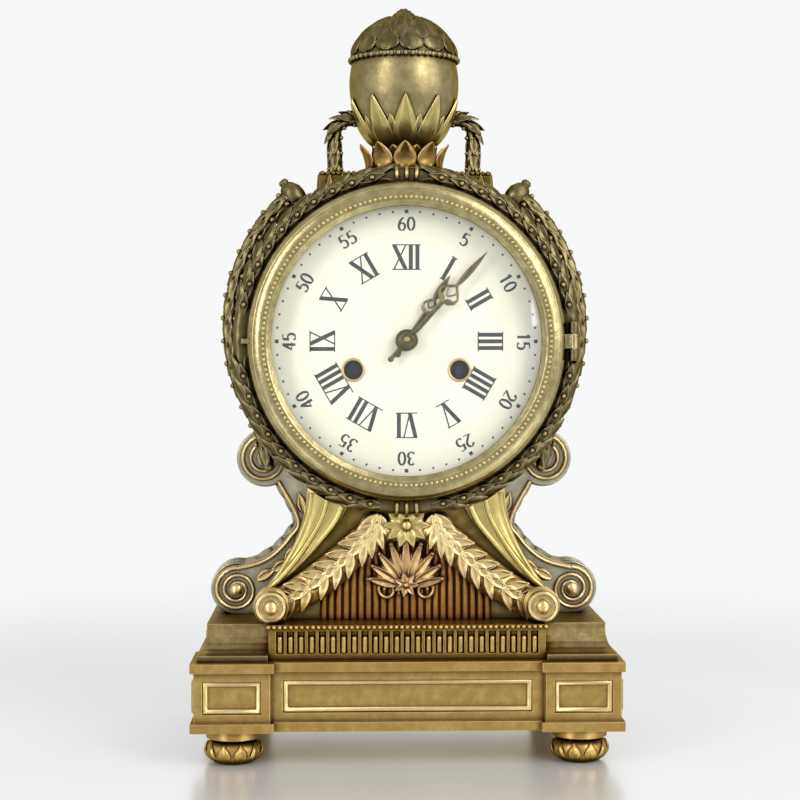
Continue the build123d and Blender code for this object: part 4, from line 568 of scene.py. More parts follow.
def spiral(shape, centre, y, face, side, start, sweep_turn, ending):
    """Line that winds in on an upright face; ending is the share of the radius left at its inner end"""
    x, z, radius = centre
    line = []
    for t in shares(44):
        turn = math.radians(start - sweep_turn * t)
        reach = radius * (1 - (1 - ending) * t)
        line.append(Vector((side * (x + reach * math.cos(turn)), y, z + reach * math.sin(turn))))
    sweep(shape, line, face, half_round(*SPIRAL_LINE))


# Materials
class Look:
    """Material of a Principled shader, with nodes in object coordinates"""

    def __init__(self, name, **sockets):
        self.material = bpy.data.materials.new(name)
        self.material.use_nodes = True
        self.tree = self.material.node_tree
        self.shader = self.tree.nodes["Principled BSDF"]
        for socket, value in sockets.items():
            self.shader.inputs[socket.replace("_", " ")].default_value = value
        self.place = self.node("TexCoord").outputs["Object"]

    def node(self, kind, links=(), **settings):
        """New node; links gives a value or a socket for each named input"""
        made = self.tree.nodes.new("ShaderNode" + kind)
        for key, value in settings.items():
            setattr(made, key, value)
        for key, value in dict(links).items():
            if isinstance(value, bpy.types.NodeSocket):
                self.tree.links.new(value, made.inputs[key])
            else:
                made.inputs[key].default_value = value
        return made

    def noise(self, scale, detail=4.0, roughness=0.55):
        links = {"Vector": self.place, "Scale": scale, "Detail": detail, "Roughness": roughness}
        return self.node("TexNoise", links).outputs["Fac"]

    def math(self, operation, first, second=0.0):
        return self.node("Math", {0: first, 1: second}, operation=operation).outputs[0]

    def total(self, *parts):
        """Sum of (source, weight) parts"""
        weighed = [self.math("MULTIPLY", source, weight) for source, weight in parts]
        whole = weighed[0]
        for part in weighed[1:]:
            whole = self.math("ADD", whole, part)
        return whole

    def ramp(self, factor, *stops):
        """Colours along a factor, as (place, colour) stops"""
        ramp = self.node("ValToRGB", {"Fac": factor})
        elements = ramp.color_ramp.elements
        while len(elements) < len(stops):
            elements.new(0.5)
        for element, (place, colour) in zip(elements, stops):
            element.position = place
            element.color = (*colour, 1)
        return ramp.outputs["Color"]

    def spread(self, factor, low, high):
        """Number that runs from low to high with a factor"""
        return self.node("MapRange", {"Value": factor, "To Min": low, "To Max": high}).outputs["Result"]

    def feed(self, socket, source):
        self.tree.links.new(source, self.shader.inputs[socket])

    def bump(self, height, strength, distance, **normal):
        links = {"Height": height, "Strength": strength, "Distance": distance, **normal}
        self.feed("Normal", self.node("Bump", links).outputs["Normal"])

    def see_through(self, share):
        """Lets a share of the light past the surface"""
        clear = self.node("BsdfTransparent").outputs["BSDF"]
        mix = self.node("MixShader", {0: share, 1: self.shader.outputs["BSDF"], 2: clear})
        self.tree.links.new(mix.outputs["Shader"], self.tree.nodes["Material Output"].inputs["Surface"])


EDGE_TINT = (0.62, 0.52, 0.34, 1)
WORN_EDGE = 0.5


def gilding(name, dark, middle, bright, rough=(0.2, 0.46), hollow=2.5):
    """Gilded bronze: patina and painted shade darken the hollows, rubbed bright on the edges, mottled and
    with a fine cast grain
    """
    look = Look(name, Metallic=1.0, Specular_Tint=EDGE_TINT)
    cloud = look.noise(60, detail=5)
    mottle = look.noise(300, detail=5, roughness=0.65)
    grain = look.noise(1500, detail=3)
    # Occlusion darkens the colour in hollows: partly the patina gilt bronze keeps there, partly painted shade
    shade = look.node("AmbientOcclusion", {"Distance": hollow * MM}, samples=6).outputs["AO"]
    eased = look.node("Bevel", {"Radius": WORN_EDGE * MM}, samples=4).outputs["Normal"]
    face = look.node("NewGeometry").outputs["Normal"]
    level = look.node("VectorMath", {0: eased, 1: face}, operation="DOT_PRODUCT").outputs["Value"]
    worn = look.math("SUBTRACT", 1.0, level)
    tone = look.total((look.math("POWER", shade, 1.8), 0.6), (worn, 1.6), (cloud, 0.14), (mottle, 0.3))
    between = [(a + b) / 2 for a, b in zip(dark, middle)]
    look.feed("Base Color", look.ramp(tone, (0.3, dark), (0.55, between), (0.8, middle), (1.0, bright)))
    polish = look.total((mottle, 0.5), (cloud, 0.3), (grain, 0.2))
    look.feed("Roughness", look.spread(polish, rough[1], rough[0]))
    relief_height = look.total((grain, 0.35), (mottle, 0.4), (cloud, 1.0))
    look.bump(relief_height, strength=0.22, distance=0.0006, Normal=eased)
    return look.material


def turned_metal(name, dark, bright, rough, axis_scale):
    """Machined metal with fine tool lines and a slight stain"""
    look = Look(name, Metallic=1.0)
    stretched = look.node("Mapping", {"Vector": look.place, "Scale": axis_scale}).outputs["Vector"]
    lines = look.node("TexNoise", {"Vector": stretched, "Scale": 1.0, "Detail": 2.0}).outputs["Fac"]
    stain = look.noise(60)
    look.feed("Base Color", look.ramp(stain, (0.3, dark), (0.65, bright)))
    look.feed("Roughness", look.spread(lines, rough[0], rough[1]))
    look.bump(lines, strength=0.12, distance=0.0002)
    return look.material


def enamel():
    """White fired enamel with a faint warm cloud and soft pits"""
    look = Look("enamel", Roughness=0.16, Coat_Weight=0.4, Coat_Roughness=0.06)
    look.feed("Base Color", look.ramp(look.noise(45), (0.3, (0.88, 0.86, 0.68)), (0.7, (0.94, 0.92, 0.77))))
    look.bump(look.noise(420, detail=2), strength=0.05, distance=0.0003)
    return look.material


def paint():
    """Fired black-blue paint, thinner in places"""
    look = Look("dial_paint", Roughness=0.35)
    thinness = look.noise(700)
    look.feed("Base Color", look.ramp(thinness, (0.3, (0.01, 0.011, 0.016)), (0.75, (0.045, 0.047, 0.065))))
    return look.material


def clear_glass():
    """Thin watch glass that lets lamps through, with a faint film of dust"""
    look = Look("glass", Roughness=0.02, IOR=1.45, Transmission_Weight=1.0)
    look.feed("Base Color", look.ramp(look.noise(30), (0.3, (0.97, 0.98, 0.97)), (0.8, (1, 1, 1))))
    path = look.node("LightPath").outputs
    look.see_through(look.math("MAXIMUM", path["Is Shadow Ray"], path["Is Diffuse Ray"]))
    return look.material


gilt = gilding("gilt_bronze", (0.022, 0.015, 0.006), (0.23, 0.17, 0.066), (0.55, 0.43, 0.21))
# Shaded copy of the gilding: its dark colour is painted shade and painted dark reflection on the ring, drum,
# lid and leaves
shaded_dark_gilt = gilding("shaded_dark_gilt", (0.011, 0.008, 0.003), (0.105, 0.086, 0.036), (0.40, 0.33, 0.17))
# Umber copy of the gilding: painted shade, used under the urn and in the grooves of the legs
shade_umber_gilt = gilding("shade_umber_gilt", (0.012, 0.008, 0.002), (0.12, 0.083, 0.02), (0.36, 0.26, 0.09))
amber_gilt = gilding("amber_gilt", (0.026, 0.014, 0.003), (0.24, 0.15, 0.036), (0.52, 0.36, 0.12))
bright_gilt = gilding(
    "bright_gilt", (0.08, 0.055, 0.02), (0.58, 0.43, 0.19), (0.82, 0.67, 0.38), (0.18, 0.42), 1.5
)
pale_gilt = gilding("pale_gilt", (0.045, 0.040, 0.026), (0.35, 0.33, 0.235), (0.68, 0.62, 0.46))
olive_gilt = gilding(
    "olive_gilt", (0.03, 0.023, 0.008), (0.225, 0.184, 0.082), (0.5, 0.42, 0.22), (0.27, 0.46)
)
leaf_gilt = gilding(
    "leaf_gilt", (0.06, 0.046, 0.014), (0.44, 0.355, 0.125), (0.70, 0.59, 0.27), (0.2, 0.42), 1.8
)
honey_gilt = gilding(
    "honey_gilt", (0.05, 0.028, 0.008), (0.37, 0.235, 0.069), (0.66, 0.47, 0.18), (0.24, 0.46)
)
burnished = gilding(
    "burnished_gilt", (0.035, 0.028, 0.011), (0.29, 0.245, 0.115), (0.68, 0.58, 0.33), (0.14, 0.32)
)
hand_gilt = gilding("hand_gilt", (0.008, 0.006, 0.002), (0.075, 0.058, 0.02), (0.30, 0.24, 0.10))
# Red-brown copy of the gilding: painted shade of the arch's recess with a painted reflection of the gilt legs
arch_shade_gilt = gilding(
    "arch_shade_gilt", (0.03, 0.012, 0.005), (0.31, 0.14, 0.038), (0.46, 0.27, 0.11), (0.36, 0.58)
)
rose_gilt = gilding("rose_gilt", (0.05, 0.026, 0.012), (0.37, 0.225, 0.095), (0.70, 0.50, 0.28))
brass = turned_metal("movement_brass", (0.42, 0.30, 0.10), (0.66, 0.52, 0.24), (0.22, 0.4), (300, 300, 2600))
steel = turned_metal("polished_steel", (0.30, 0.30, 0.31), (0.52, 0.53, 0.55), (0.18, 0.35), (400, 400, 3000))
black_steel = turned_metal(
    "black_steel", (0.012, 0.012, 0.014), (0.04, 0.04, 0.045), (0.3, 0.5), (400, 400, 3000)
)
blued = turned_metal("blued_steel", (0.02, 0.03, 0.09), (0.05, 0.07, 0.17), (0.2, 0.35), (400, 400, 3000))
bell_metal = turned_metal("bell_metal", (0.32, 0.25, 0.14), (0.58, 0.48, 0.32), (0.2, 0.36), (200, 3000, 200))
white_enamel = enamel()
dial_paint = paint()
glass = clear_glass()

SLOT_LOOKS = {
    "gilt_bronze": gilt,
    "burnished_gilt": burnished,
    "gilt_hands": hand_gilt,
    "movement_brass": brass,
    "steel": steel,
    "spring_steel": blued,
    "bell_metal": bell_metal,
    "enamel": white_enamel,
    "glass": glass,
}
NODE_LOOKS = {
    "base_plinth": honey_gilt,
    "feet": honey_gilt,
    "fluted_frieze": amber_gilt,
    "front_ring": shaded_dark_gilt,
    "rear_ring": shaded_dark_gilt,
    "drum_case": shaded_dark_gilt,
    "scroll_left": pale_gilt,
    "scroll_right": pale_gilt,
    # The saddle under the urn takes the umber gilt of painted shade
    "urn_base": shade_umber_gilt,
    "urn_body": olive_gilt,
    "urn_lid": shaded_dark_gilt,
    "hand_nut": hand_gilt,
    "going_arbor": black_steel,
    "strike_arbor": black_steel,
}
for row in frame["record"]["subparts"]:
    look = NODE_LOOKS.get(row["node"], SLOT_LOOKS[row["material_slot"]])
    for slot in frame["nodes"][row["node"]].material_slots:
        slot.material = look


# Laurel wreath on the front ring: two branches that rise from a tie at the bottom to one at the top
wreath = Shape()
berries = Shape()
for side in SIDES:
    for low, high in ((-WREATH_END, -HINGE_GAP), (HINGE_GAP, WREATH_END)):
        turns = [low + (high - low) * t for t in shares(40)]
        branch = [around(RING_ROLL_RADIUS, t if side > 0 else 180 - t, RING_ROLL_Y) for t in turns]
        laurel(wreath, berries, branch, RING_ROLL, WREATH_TURNS, WREATH_LEAF, WREATH_BERRY, WREATH_LEAN)
wreath.piece("wreath_leaves", shaded_dark_gilt)
berries.piece("wreath_berries", gilt)

ties = Shape()
for degrees in (90, 270):
    for shift in (-TIE_STEP, 0, TIE_STEP):
        at = around(RING_ROLL_RADIUS, degrees + shift, RING_ROLL_Y)
        along = Vector((0, RING_ROLL_Y, DRUM_Z)) - at
        hoop(ties, at, along.cross(FRONT), RING_ROLL + TIE_THICKNESS * TIE_LIFT, TIE_THICKNESS, sides=24)
ties.piece("wreath_ties", gilt)

# Bezel: a row of beads round the glass and a fillet outside it
beads = Shape()
bead_count = round(2 * math.pi * BEZEL_BEAD_CIRCLE / (BEZEL_BEAD_RADIUS * BEZEL_BEAD_PITCH))
for i in range(bead_count):
    bead(beads, around(BEZEL_BEAD_CIRCLE, 360 * i / bead_count, BEZEL_BEAD_Y), BEZEL_BEAD_RADIUS)
hoop(beads, (0, BEZEL_FILLET_Y, DRUM_Z), FRONT, BEZEL_FILLET_CIRCLE, BEZEL_FILLET, sides=128)
beads.piece("bezel_beads", leaf_gilt, "bezel", "burnished_gilt")

# Drum: a turned band at each end and a row of pearls round its flank
bands = Shape()
for y in DRUM_BANDS_Y:
    hoop(bands, (0, y, DRUM_Z), FRONT, DRUM_RADIUS + DRUM_BAND_RISE, DRUM_BAND, sides=128)
first, last = DRUM_PEARLS
for degrees in range(first, last + 1, DRUM_PEARL_STEP):
    outward = around(1, degrees, 0) - UP * DRUM_Z
    bead(bands, around(DRUM_RADIUS, degrees, DRUM_PEARLS_Y), DRUM_PEARL_RADIUS, outward)
bands.piece("drum_bands", gilt)

# Door: turned hoops about a rosette
door_rings = Shape()
for radius in DOOR_HOOPS:
    hoop(door_rings, (0, DOOR_FACE_Y, DRUM_Z), BACK, radius, *DOOR_HOOP, sides=96)
rosette(door_rings, Vector((0, DOOR_FACE_Y, DRUM_Z)), DOOR_FLOWER, BACK, DOOR_PETALS)
door_rings.piece("door_rings", bright_gilt, "door")


# Dial figures
def dial_place(radius, clock):
    """Placement on the dial whose x runs clockwise, y outward and z to the front"""
    turn = math.radians(clock)
    sine = math.sin(turn)
    cosine = math.cos(turn)
    axes = Matrix(((cosine, sine, 0), (0, 0, -1), (-sine, cosine, 0))).to_4x4()
    return Matrix.Translation((radius * sine, 0, DRUM_Z + radius * cosine)) @ axes


def stroke(shape, line, place, thin, bold, lean=None):
    """Pen stroke on the dial, bold where it runs up and down unless lean gives its weight"""
    points = []
    for x, y in line:
        at = place @ Vector((x, y, 0))
        reach = math.hypot(at.x, at.z - DRUM_Z)
        at.y = DIAL_FACE + DIAL_DOME * (reach / DIAL_RADIUS) ** 2
        points.append(at)

    def section(share):
        i = round(share * (len(line) - 1))
        before = line[max(i - 1, 0)]
        after = line[min(i + 1, len(line) - 1)]
        weight = lean
        if weight is None:
            weight = abs(after[1] - before[1]) / math.dist(before, after)
        half = (thin + (bold - thin) * weight) / 2
        return [(-half, -PAINT_HEIGHT), (half, -PAINT_HEIGHT), (half, PAINT_HEIGHT), (-half, PAINT_HEIGHT)]

    sweep(shape, points, FRONT, section)


def arc(x, y, width, height, start, end, steps=14):
    """Points of an elliptical arc"""
    turns = [math.radians(start + (end - start) * t) for t in shares(steps)]
    return [(x + width * math.cos(a), y + height * math.sin(a)) for a in turns]


# Each Roman letter has its width and its strokes as ((x, y), (x, y), weight), for a height of 1
ROMAN_LETTERS = {
    "I": (0.27, (((0, 0), (0, 1), 1),)),
    "V": (0.62, (((-0.24, 1), (0.0, 0), 1), ((0.24, 1), (0.0, 0), 0.1))),
    "X": (0.62, (((-0.24, 1), (0.24, 0), 1), ((0.24, 1), (-0.24, 0), 0.1))),
}
ROMAN_HOURS = ("XII", "I", "II", "III", "IIII", "V", "VI", "VII", "VIII", "IX", "X", "XI")

# Each digit is its pen lines in a box 0.6 wide and 1 high
DIGITS = {
    "0": (arc(0.3, 0.5, 0.24, 0.48, 90, 450),),
    "1": (((0.14, 0.8), (0.22, 0.84), (0.32, 0.98)), ((0.32, 0.98), (0.32, 0.5), (0.32, 0.02))),
    "2": (arc(0.3, 0.7, 0.23, 0.28, 165, -35, 10) + [(0.06, 0.04), (0.3, 0.04), (0.54, 0.04)],),
    "3": (arc(0.27, 0.74, 0.2, 0.24, 150, -90, 10), arc(0.27, 0.27, 0.25, 0.25, 90, -150, 10)),
    "4": (
        ((0.4, 0.02), (0.4, 0.5), (0.4, 0.98)),
        ((0.4, 0.98), (0.22, 0.64), (0.04, 0.3), (0.3, 0.3), (0.56, 0.3)),
    ),
    "5": (
        ((0.5, 0.95), (0.3, 0.95), (0.14, 0.95)),
        ((0.14, 0.95), (0.12, 0.72), (0.1, 0.5)),
        arc(0.27, 0.31, 0.25, 0.29, 125, -145, 10),
    ),
    "6": (arc(0.3, 0.29, 0.23, 0.27, 90, 450), arc(0.56, 0.29, 0.49, 0.68, 105, 180, 8)),
}

figures = Shape()
for hour, letters in enumerate(ROMAN_HOURS):
    place = dial_place(HOUR_CIRCLE, 30 * hour)
    total = sum(ROMAN_LETTERS[letter][0] for letter in letters)
    x = -total / 2
    for letter in letters:
        width, strokes = ROMAN_LETTERS[letter]
        middle = x + width / 2
        x += width
        for start, end, weight in strokes:
            ends = [((middle + px) * HOUR_HEIGHT, (py - 0.5) * HOUR_HEIGHT) for px, py in (start, end)]
            stroke(figures, ends, place, HOUR_THIN, HOUR_BOLD, weight)
    rail = total / 2 * HOUR_HEIGHT
    for level in (-0.5, 0.5):
        ends = ((-rail, level * HOUR_HEIGHT), (rail, level * HOUR_HEIGHT))
        stroke(figures, ends, place, HOUR_THIN, HOUR_BOLD)
for five in range(1, 13):
    place = dial_place(MINUTE_CIRCLE, 30 * five)
    text = str(5 * five)
    for i, digit in enumerate(text):
        shift = (i - len(text) / 2) * DIGIT_STEP + DIGIT_MARGIN
        for line in DIGITS[digit]:
            sized = [((x + shift) * MINUTE_HEIGHT, (y - 0.5) * MINUTE_HEIGHT) for x, y in line]
            stroke(figures, sized, place, MINUTE_THIN, MINUTE_BOLD)
for minute in range(60):
    place = dial_place(DOT_CIRCLE, 6 * minute)
    radius = DOT_RADIUS if minute % 5 else FIVE_DOT_RADIUS
    stroke(figures, ((0, -radius), (0, radius)), place, 2 * radius, 2 * radius)
figures.piece("dial_figures", dial_paint, slot="enamel")

grommets = Shape()
for x, z in WINDING_AT:
    at = (x, DIAL_FACE + GROMMET_RISE, DRUM_Z + z)
    hoop(grommets, at, FRONT, WINDING_HOLE, *GROMMET)
grommets.piece("winding_grommets", brass, slot="movement_brass")


# Hands: a boss, a stem with a pierced loop and a leaf-shaped tip
def hand(label, clock, y, length, hub, loop, tip):
    """Pierced hand turned to its place on the dial"""
    shape = Shape()
    place = dial_place(0, clock)
    place.translation.y = y
    low, middle, high = (length * share for share in loop)
    tail = -length * HAND_TAIL
    half = length * HAND_LOOP_HALF

    def at(across, along):
        return place @ Vector((across, along, 0))

    def bar(points, width):
        thick = HAND_HALF_THICKNESS
        edge, face = width / 2, width / 4
        section = ((-edge, 0), (-face, thick), (face, thick), (edge, 0), (face, -thick), (-face, -thick))
        sweep(shape, [at(u, v) for u, v in points], FRONT, lambda share: section)

    wire = hub * HUB_WIRE
    hoop(shape, at(0, 0), FRONT, hub * HUB_CIRCLE, wire, HAND_HALF_THICKNESS / wire)
    bar([(0, hub * HUB_EDGE), (0, low)], HAND_STEM)
    bar([(0, -hub * HUB_EDGE), (0, tail)], HAND_TAIL_WIDTH)
    for side in SIDES:
        outer = curve([(0, low - 0.4, 0), (side * half, middle, 0), (0, high, 0)])
        turning = (side * half * 0.5, middle + half * 0.5, 0)
        inner = curve([(0, middle - half * 0.2, 0), turning, (0, high - 0.3, 0)], 4)
        bar([(p.x, p.y) for p in outer], HAND_LOOP_WIRE)
        bar([(p.x, p.y) for p in inner], HAND_INNER_WIRE)
        away = place.to_3x3() @ Vector((side * 0.9, 0.5, 0))
        flat_leaf(shape, at(0, low + 0.3), away, FRONT, (half * 1.3, half * 0.6, 0.4))
    along = place.to_3x3() @ Vector((0, 1, 0))
    flat_leaf(shape, at(0, high - 0.6), along, FRONT, (length - high + 0.6, tip, 0.45))
    bead(shape, at(0, high), HAND_TIP_BEAD, FRONT, 0.7)
    bead(shape, at(0, tail), HAND_TAIL_BEAD, FRONT, 0.4)
    shape.piece(f"pierced_{label}_hand", hand_gilt, label + "_arbor", "gilt_hands", (label + "_hand",))


for row in HANDS:
    hand(*row)


# Garlands: laurel ropes over the drum's shoulders and down its flanks, each hung from a turned knob
def garland_line():
    """Middle line of the left garland: an arc round the drum, then a drop that turns straight down"""
    end = around(GARLAND_END_RADIUS, GARLAND_END, GARLAND_Y)
    centre = Vector((0, GARLAND_Y, DRUM_Z + GARLAND_RISE))
    reach = (end - centre).length
    line = []
    for t in shares(30):
        turn = math.radians(GARLAND_TOP + (GARLAND_END - GARLAND_TOP) * t)
        radius = GARLAND_RISE * math.sin(turn) + math.sqrt(reach**2 - (GARLAND_RISE * math.cos(turn)) ** 2)
        line.append(around(radius, math.degrees(turn), GARLAND_Y))
    lean = math.atan2(centre.z - end.z, centre.x - end.x)
    bend = GARLAND_DROP / math.sin(lean)
    for t in shares(6)[1:]:
        turn = lean * (1 - t)
        fall = Vector((math.cos(turn) - math.cos(lean), 0, math.sin(turn) - math.sin(lean)))
        line.append(end + fall * bend)
    return line


for side, label in LEFT_RIGHT:
    leaves = Shape()
    fruit = Shape()
    line = [Vector((-side * p.x, p.y, p.z)) for p in garland_line()]
    sweep(leaves, line, FRONT, rod(GARLAND_ROPE * GARLAND_CORE))
    turns = [side * degrees for degrees in GARLAND_TURNS]
    laurel(leaves, fruit, line[:-2], GARLAND_ROPE, turns, GARLAND_LEAF, GARLAND_BERRY, GARLAND_LEAN)
    root = around(BOSS_ROOT, GARLAND_TOP, GARLAND_Y)
    root.x *= -side
    outward = Vector((root.x, 0, root.z - DRUM_Z)).normalized()
    turned(leaves, BOSS_PROFILE, facing(root, outward), 24)
    rosette(leaves, root + outward * BOSS_FLOWER_RISE, BOSS_FLOWER, outward, BOSS_PETALS)
    bead(fruit, line[-1], GARLAND_DROP_BEAD, UP)
    leaves.piece("garland_leaves_" + label, shaded_dark_gilt, replaces=("garland_" + label,))
    fruit.piece("garland_fruit_" + label, gilt)

# Swags: laurel handles that spring from the urn's stem and hang to its saddle
for side, label in LEFT_RIGHT:
    leaves = Shape()
    fruit = Shape()
    line = curve(upright([(side * x, z) for x, z in SWAG_LINE], 0), 6)
    sweep(leaves, line, FRONT, rod(SWAG_ROPE * SWAG_CORE))
    laurel(leaves, fruit, line, SWAG_ROPE, SWAG_TURNS, SWAG_LEAF, SWAG_BERRY, SWAG_LEAN)
    turned(leaves, SWAG_FOOT, facing((side * SWAG_LINE[-1][0], 0, saddle_high.z), UP), 20)
    leaves.piece("swag_leaves_" + label, shaded_dark_gilt, replaces=("swag_" + label,))
    fruit.piece("swag_fruit_" + label, gilt)


# Urn: leaves round the cup's foot, beads on the rim, and a leafy lid with a bud
def leaf_crown(shape, profile, size, under_profile, under_size):
    """Ring of leaves about the urn's axis, with smaller leaves in its gaps"""
    for i in range(CUP_LEAVES):
        degrees = 360 * (i + 0.5) / CUP_LEAVES
        meridian_leaf(shape, profile, degrees, *size)
        meridian_leaf(shape, under_profile, degrees + 180 / CUP_LEAVES, *under_size)


calyx = Shape()
leaf_crown(calyx, CUP_LEAF, CUP_LEAF_SIZE, CUP_UNDERLEAF, CUP_UNDERLEAF_SIZE)
calyx.piece("urn_calyx", leaf_gilt)

stem = Shape()
leaf_crown(stem, STEM_LEAF, STEM_LEAF_SIZE, STEM_UNDERLEAF, STEM_UNDERLEAF_SIZE)
radius, level = STEM_RING
for a in circle(STEM_BEADS):
    bead(stem, Vector((radius * math.cos(a), radius * math.sin(a), level)), STEM_BEAD, UP)
stem.piece("urn_stem_leaves", honey_gilt)

rim = Shape()
for a in circle(RIM_BEADS):
    outward = Vector((math.cos(a), math.sin(a), 0))
    at = outward * (cup_high.x - RIM_BEAD_INSET) + UP * (cup_high.z - RIM_BEAD_DROP)
    bead(rim, at, RIM_BEAD, outward)
rim.piece("urn_rim_beads", olive_gilt, slot="burnished_gilt")

cap = Shape()
for shift, rises, width in LID_ROWS:
    profile = []
    for degrees, lift in zip(rises, LID_LIFT):
        turn = math.radians(degrees)
        reach = LID_ROLL + lift
        profile.append((LID_CENTRE[0] + reach * math.cos(turn), LID_CENTRE[1] + reach * math.sin(turn)))
    for i in range(LID_LEAVES):
        meridian_leaf(cap, profile, 360 * (i + shift) / LID_LEAVES, width, LID_LEAF_HEIGHT)
for level, radius, count in BUD_ROWS:
    for a in circle(count):
        bead(cap, Vector((radius * math.cos(a + level), radius * math.sin(a + level), level)), BUD_BEAD, UP)
cap.piece("urn_cap_leaves", shaded_dark_gilt)

# Saddle under the urn: upright leaves along its sides, and beads on its edge
saddle = Shape()
half_x, half_y = saddle_high.xy


def saddle_leaf(x, y, outward):
    """Leaf from the drum up to the saddle's edge"""
    low = DRUM_Z + math.sqrt(DRUM_RADIUS**2 - x**2)
    length = saddle_high.z - SADDLE_MARGIN - low
    size = (length, SADDLE_PITCH * SADDLE_LEAF_WIDTH, SADDLE_LEAF_HEIGHT)
    flat_leaf(saddle, Vector((x, y, low)), UP, outward, size, SADDLE_LEAF_CURL)


def saddle_bead(x, y):
    """Bead on the saddle's upper edge"""
    bead(saddle, Vector((x, y, saddle_high.z - SADDLE_BEAD_DROP)), SADDLE_BEAD, UP)


for face in SIDES:
    for i in both_ways(SADDLE_LEAVES[0]):
        saddle_leaf(i * SADDLE_PITCH, face * half_y, (0, face, 0))
    for i in both_ways(SADDLE_LEAVES[1]):
        saddle_leaf(face * half_x, i * SADDLE_PITCH, (face, 0, 0))
    for i in both_ways(SADDLE_BEADS[0]):
        saddle_bead(i * SADDLE_BEAD_PITCH, face * (half_y - SADDLE_MARGIN))
    for i in both_ways(SADDLE_BEADS[1]):
        saddle_bead(face * (half_x - SADDLE_MARGIN), i * SADDLE_BEAD_PITCH)
# The saddle leaves' umber gilt is painted shade under the urn
saddle.piece("saddle_leaves", shade_umber_gilt)


# Legs: a lobed band from the clasp to a rolled foot, a ribbed flank outside it, and a ground between them in
# dark gilt that paints the groove's shade
def relief(shape, near, far, heights):
    """Slab between two lines on the pedestal; heights are its edges' and what its middle adds to them"""
    last = len(near) - 1
    edge, crown = heights
    rings = []
    for i, (a, b) in enumerate(zip(near, far)):
        drop = UP * (LEG_END_DROP * (1 - i / last) ** LEG_END_POWER)
        ring = []
        for share in shares(16):
            rise = math.sin(math.pi * share)
            ring.append(a.lerp(b, share) + FRONT * (edge + crown * rise**LEG_CROWN_POWER) - drop * rise)
        rings.append(ring + [b, a])
    shape.loft(rings)


def acanthus_leg(side, label):
    """Dark ground that paints the groove's shade, then the flank and lobed band of one leg"""
    inner, band, split, outer = (
        curve(upright([(side * x, z) for x, z in points], PEDESTAL_FRONT), 8)
        for points in (LEG_INNER, LEG_BAND, LEG_SPLIT, LEG_OUTER)
    )
    # The ground's umber gilt is painted shade in the groove between the band and the flank
    groove_shade = Shape()
    relief(groove_shade, inner, outer, (LEG_GROUND, 0))
    groove_shade.piece("leg_groove_shade_" + label, shade_umber_gilt)

    flank = Shape()
    relief(flank, split, outer, LEG_FLANK_HEIGHT)
    for share in LEG_RIBS:
        rise = LEG_FLANK_HEIGHT[0] + LEG_FLANK_HEIGHT[1] * math.sin(math.pi * share)
        line = [a.lerp(b, share) + FRONT * (rise - LEG_RIB_SINK) for a, b in zip(split, outer)]
        sweep(flank, line[2:], FRONT, half_round(*LEG_RIB))
    flank.piece("leg_flank_" + label, leaf_gilt)

    shape = Shape()
    relief(shape, inner, band, LEG_BAND_HEIGHT)
    rise = sum(LEG_BAND_HEIGHT) - LEG_LOBE_SINK
    rib = [a.lerp(b, 0.5) + FRONT * rise for a, b in zip(inner, band)]
    for k in range(LEG_LOBES):
        i = round((len(rib) - 2) * (k + LEG_LOBE_START) / LEG_LOBES)
        down = (rib[i + 1] - rib[i]).normalized()
        for turn in (-1, 1, 0):
            spread = Matrix.Rotation(turn * math.radians(LEG_LOBE_SPREAD), 3, "Y")
            flat_leaf(shape, rib[i], spread @ down - FRONT * LEG_LOBE_LEAN, FRONT, LEG_LOBE, LEG_LOBE_CURL)
    x, z = LEG_FOOT
    turned(shape, LEG_FOOT_PROFILE, facing((side * x, PEDESTAL_FRONT, z), FRONT))
    for y in LEG_FOOT_HOOPS:
        hoop(shape, (side * x, y, z), FRONT, LEG_FOOT_RADIUS, LEG_FOOT_HOOP)
    shape.piece("acanthus_leg_" + label, bright_gilt, replaces=("leg_" + label,), sharp=50)


for side, label in LEFT_RIGHT:
    acanthus_leg(side, label)

# Reeded panel in the arch between the legs, its red-brown gilt painted with the recess's shade and the legs'
# gold reflected in it
reeds = Shape()
reed_count = int(ARCH_HALF_WIDTH / REED_PITCH)
for i in both_ways(reed_count):
    x = i * REED_PITCH
    top = min(ARCH_SHOULDER + ARCH_HALF_WIDTH - abs(x), ARCH_TOP) + REED_OVERLAP
    line = upright([(x, PEDESTAL_Z), (x, (PEDESTAL_Z + top) / 2), (x, top)], PEDESTAL_FRONT)
    sweep(reeds, line, FRONT, half_round(REED_PITCH * REED_WIDTH, REED_HEIGHT))
reeds.piece("arch_reeds", arch_shade_gilt)

# Palmette, and the rosette that clasps the legs above it
fan = Shape()
for i in both_ways(PALMETTE_LEAVES):
    turn = math.radians(PALMETTE_FAN * i)
    along = Vector((math.sin(turn), 0, math.cos(turn)))
    at = Vector((0, PEDESTAL_FRONT - PALMETTE_RISE, PALMETTE_FOOT)) + along * PALMETTE_ROOT
    length, width, height = PALMETTE_LEAF
    length -= PALMETTE_SHORTENING * abs(i)
    flat_leaf(fan, at, along, FRONT, (length, width, height), PALMETTE_CURL)
    bead(fan, at + along * (length - PALMETTE_BEAD_INSET) + FRONT * PALMETTE_BEAD_RISE, PALMETTE_BEAD)
for side in SIDES:
    spiral(fan, PALMETTE_SCROLL, PEDESTAL_FRONT - PALMETTE_SCROLL_RISE, FRONT, side, *PALMETTE_WINDING)
flower_at = Vector((0, PEDESTAL_FRONT - PALMETTE_FLOWER_RISE, PALMETTE_FOOT + PALMETTE_FLOWER_LIFT))
rosette(fan, flower_at, PALMETTE_FLOWER, FRONT, PALMETTE_PETALS)
fan.piece("palmette_fan", rose_gilt, replaces=("palmette",))

clasp = Shape()
turned(clasp, CLASP_PROFILE, facing((0, PEDESTAL_FRONT, CLASP_Z), FRONT))
rosette(clasp, Vector((0, PEDESTAL_FRONT - CLASP_FLOWER_RISE, CLASP_Z)), CLASP_FLOWER, FRONT, CLASP_PETALS)
clasp.piece("clasp_rosette", leaf_gilt)

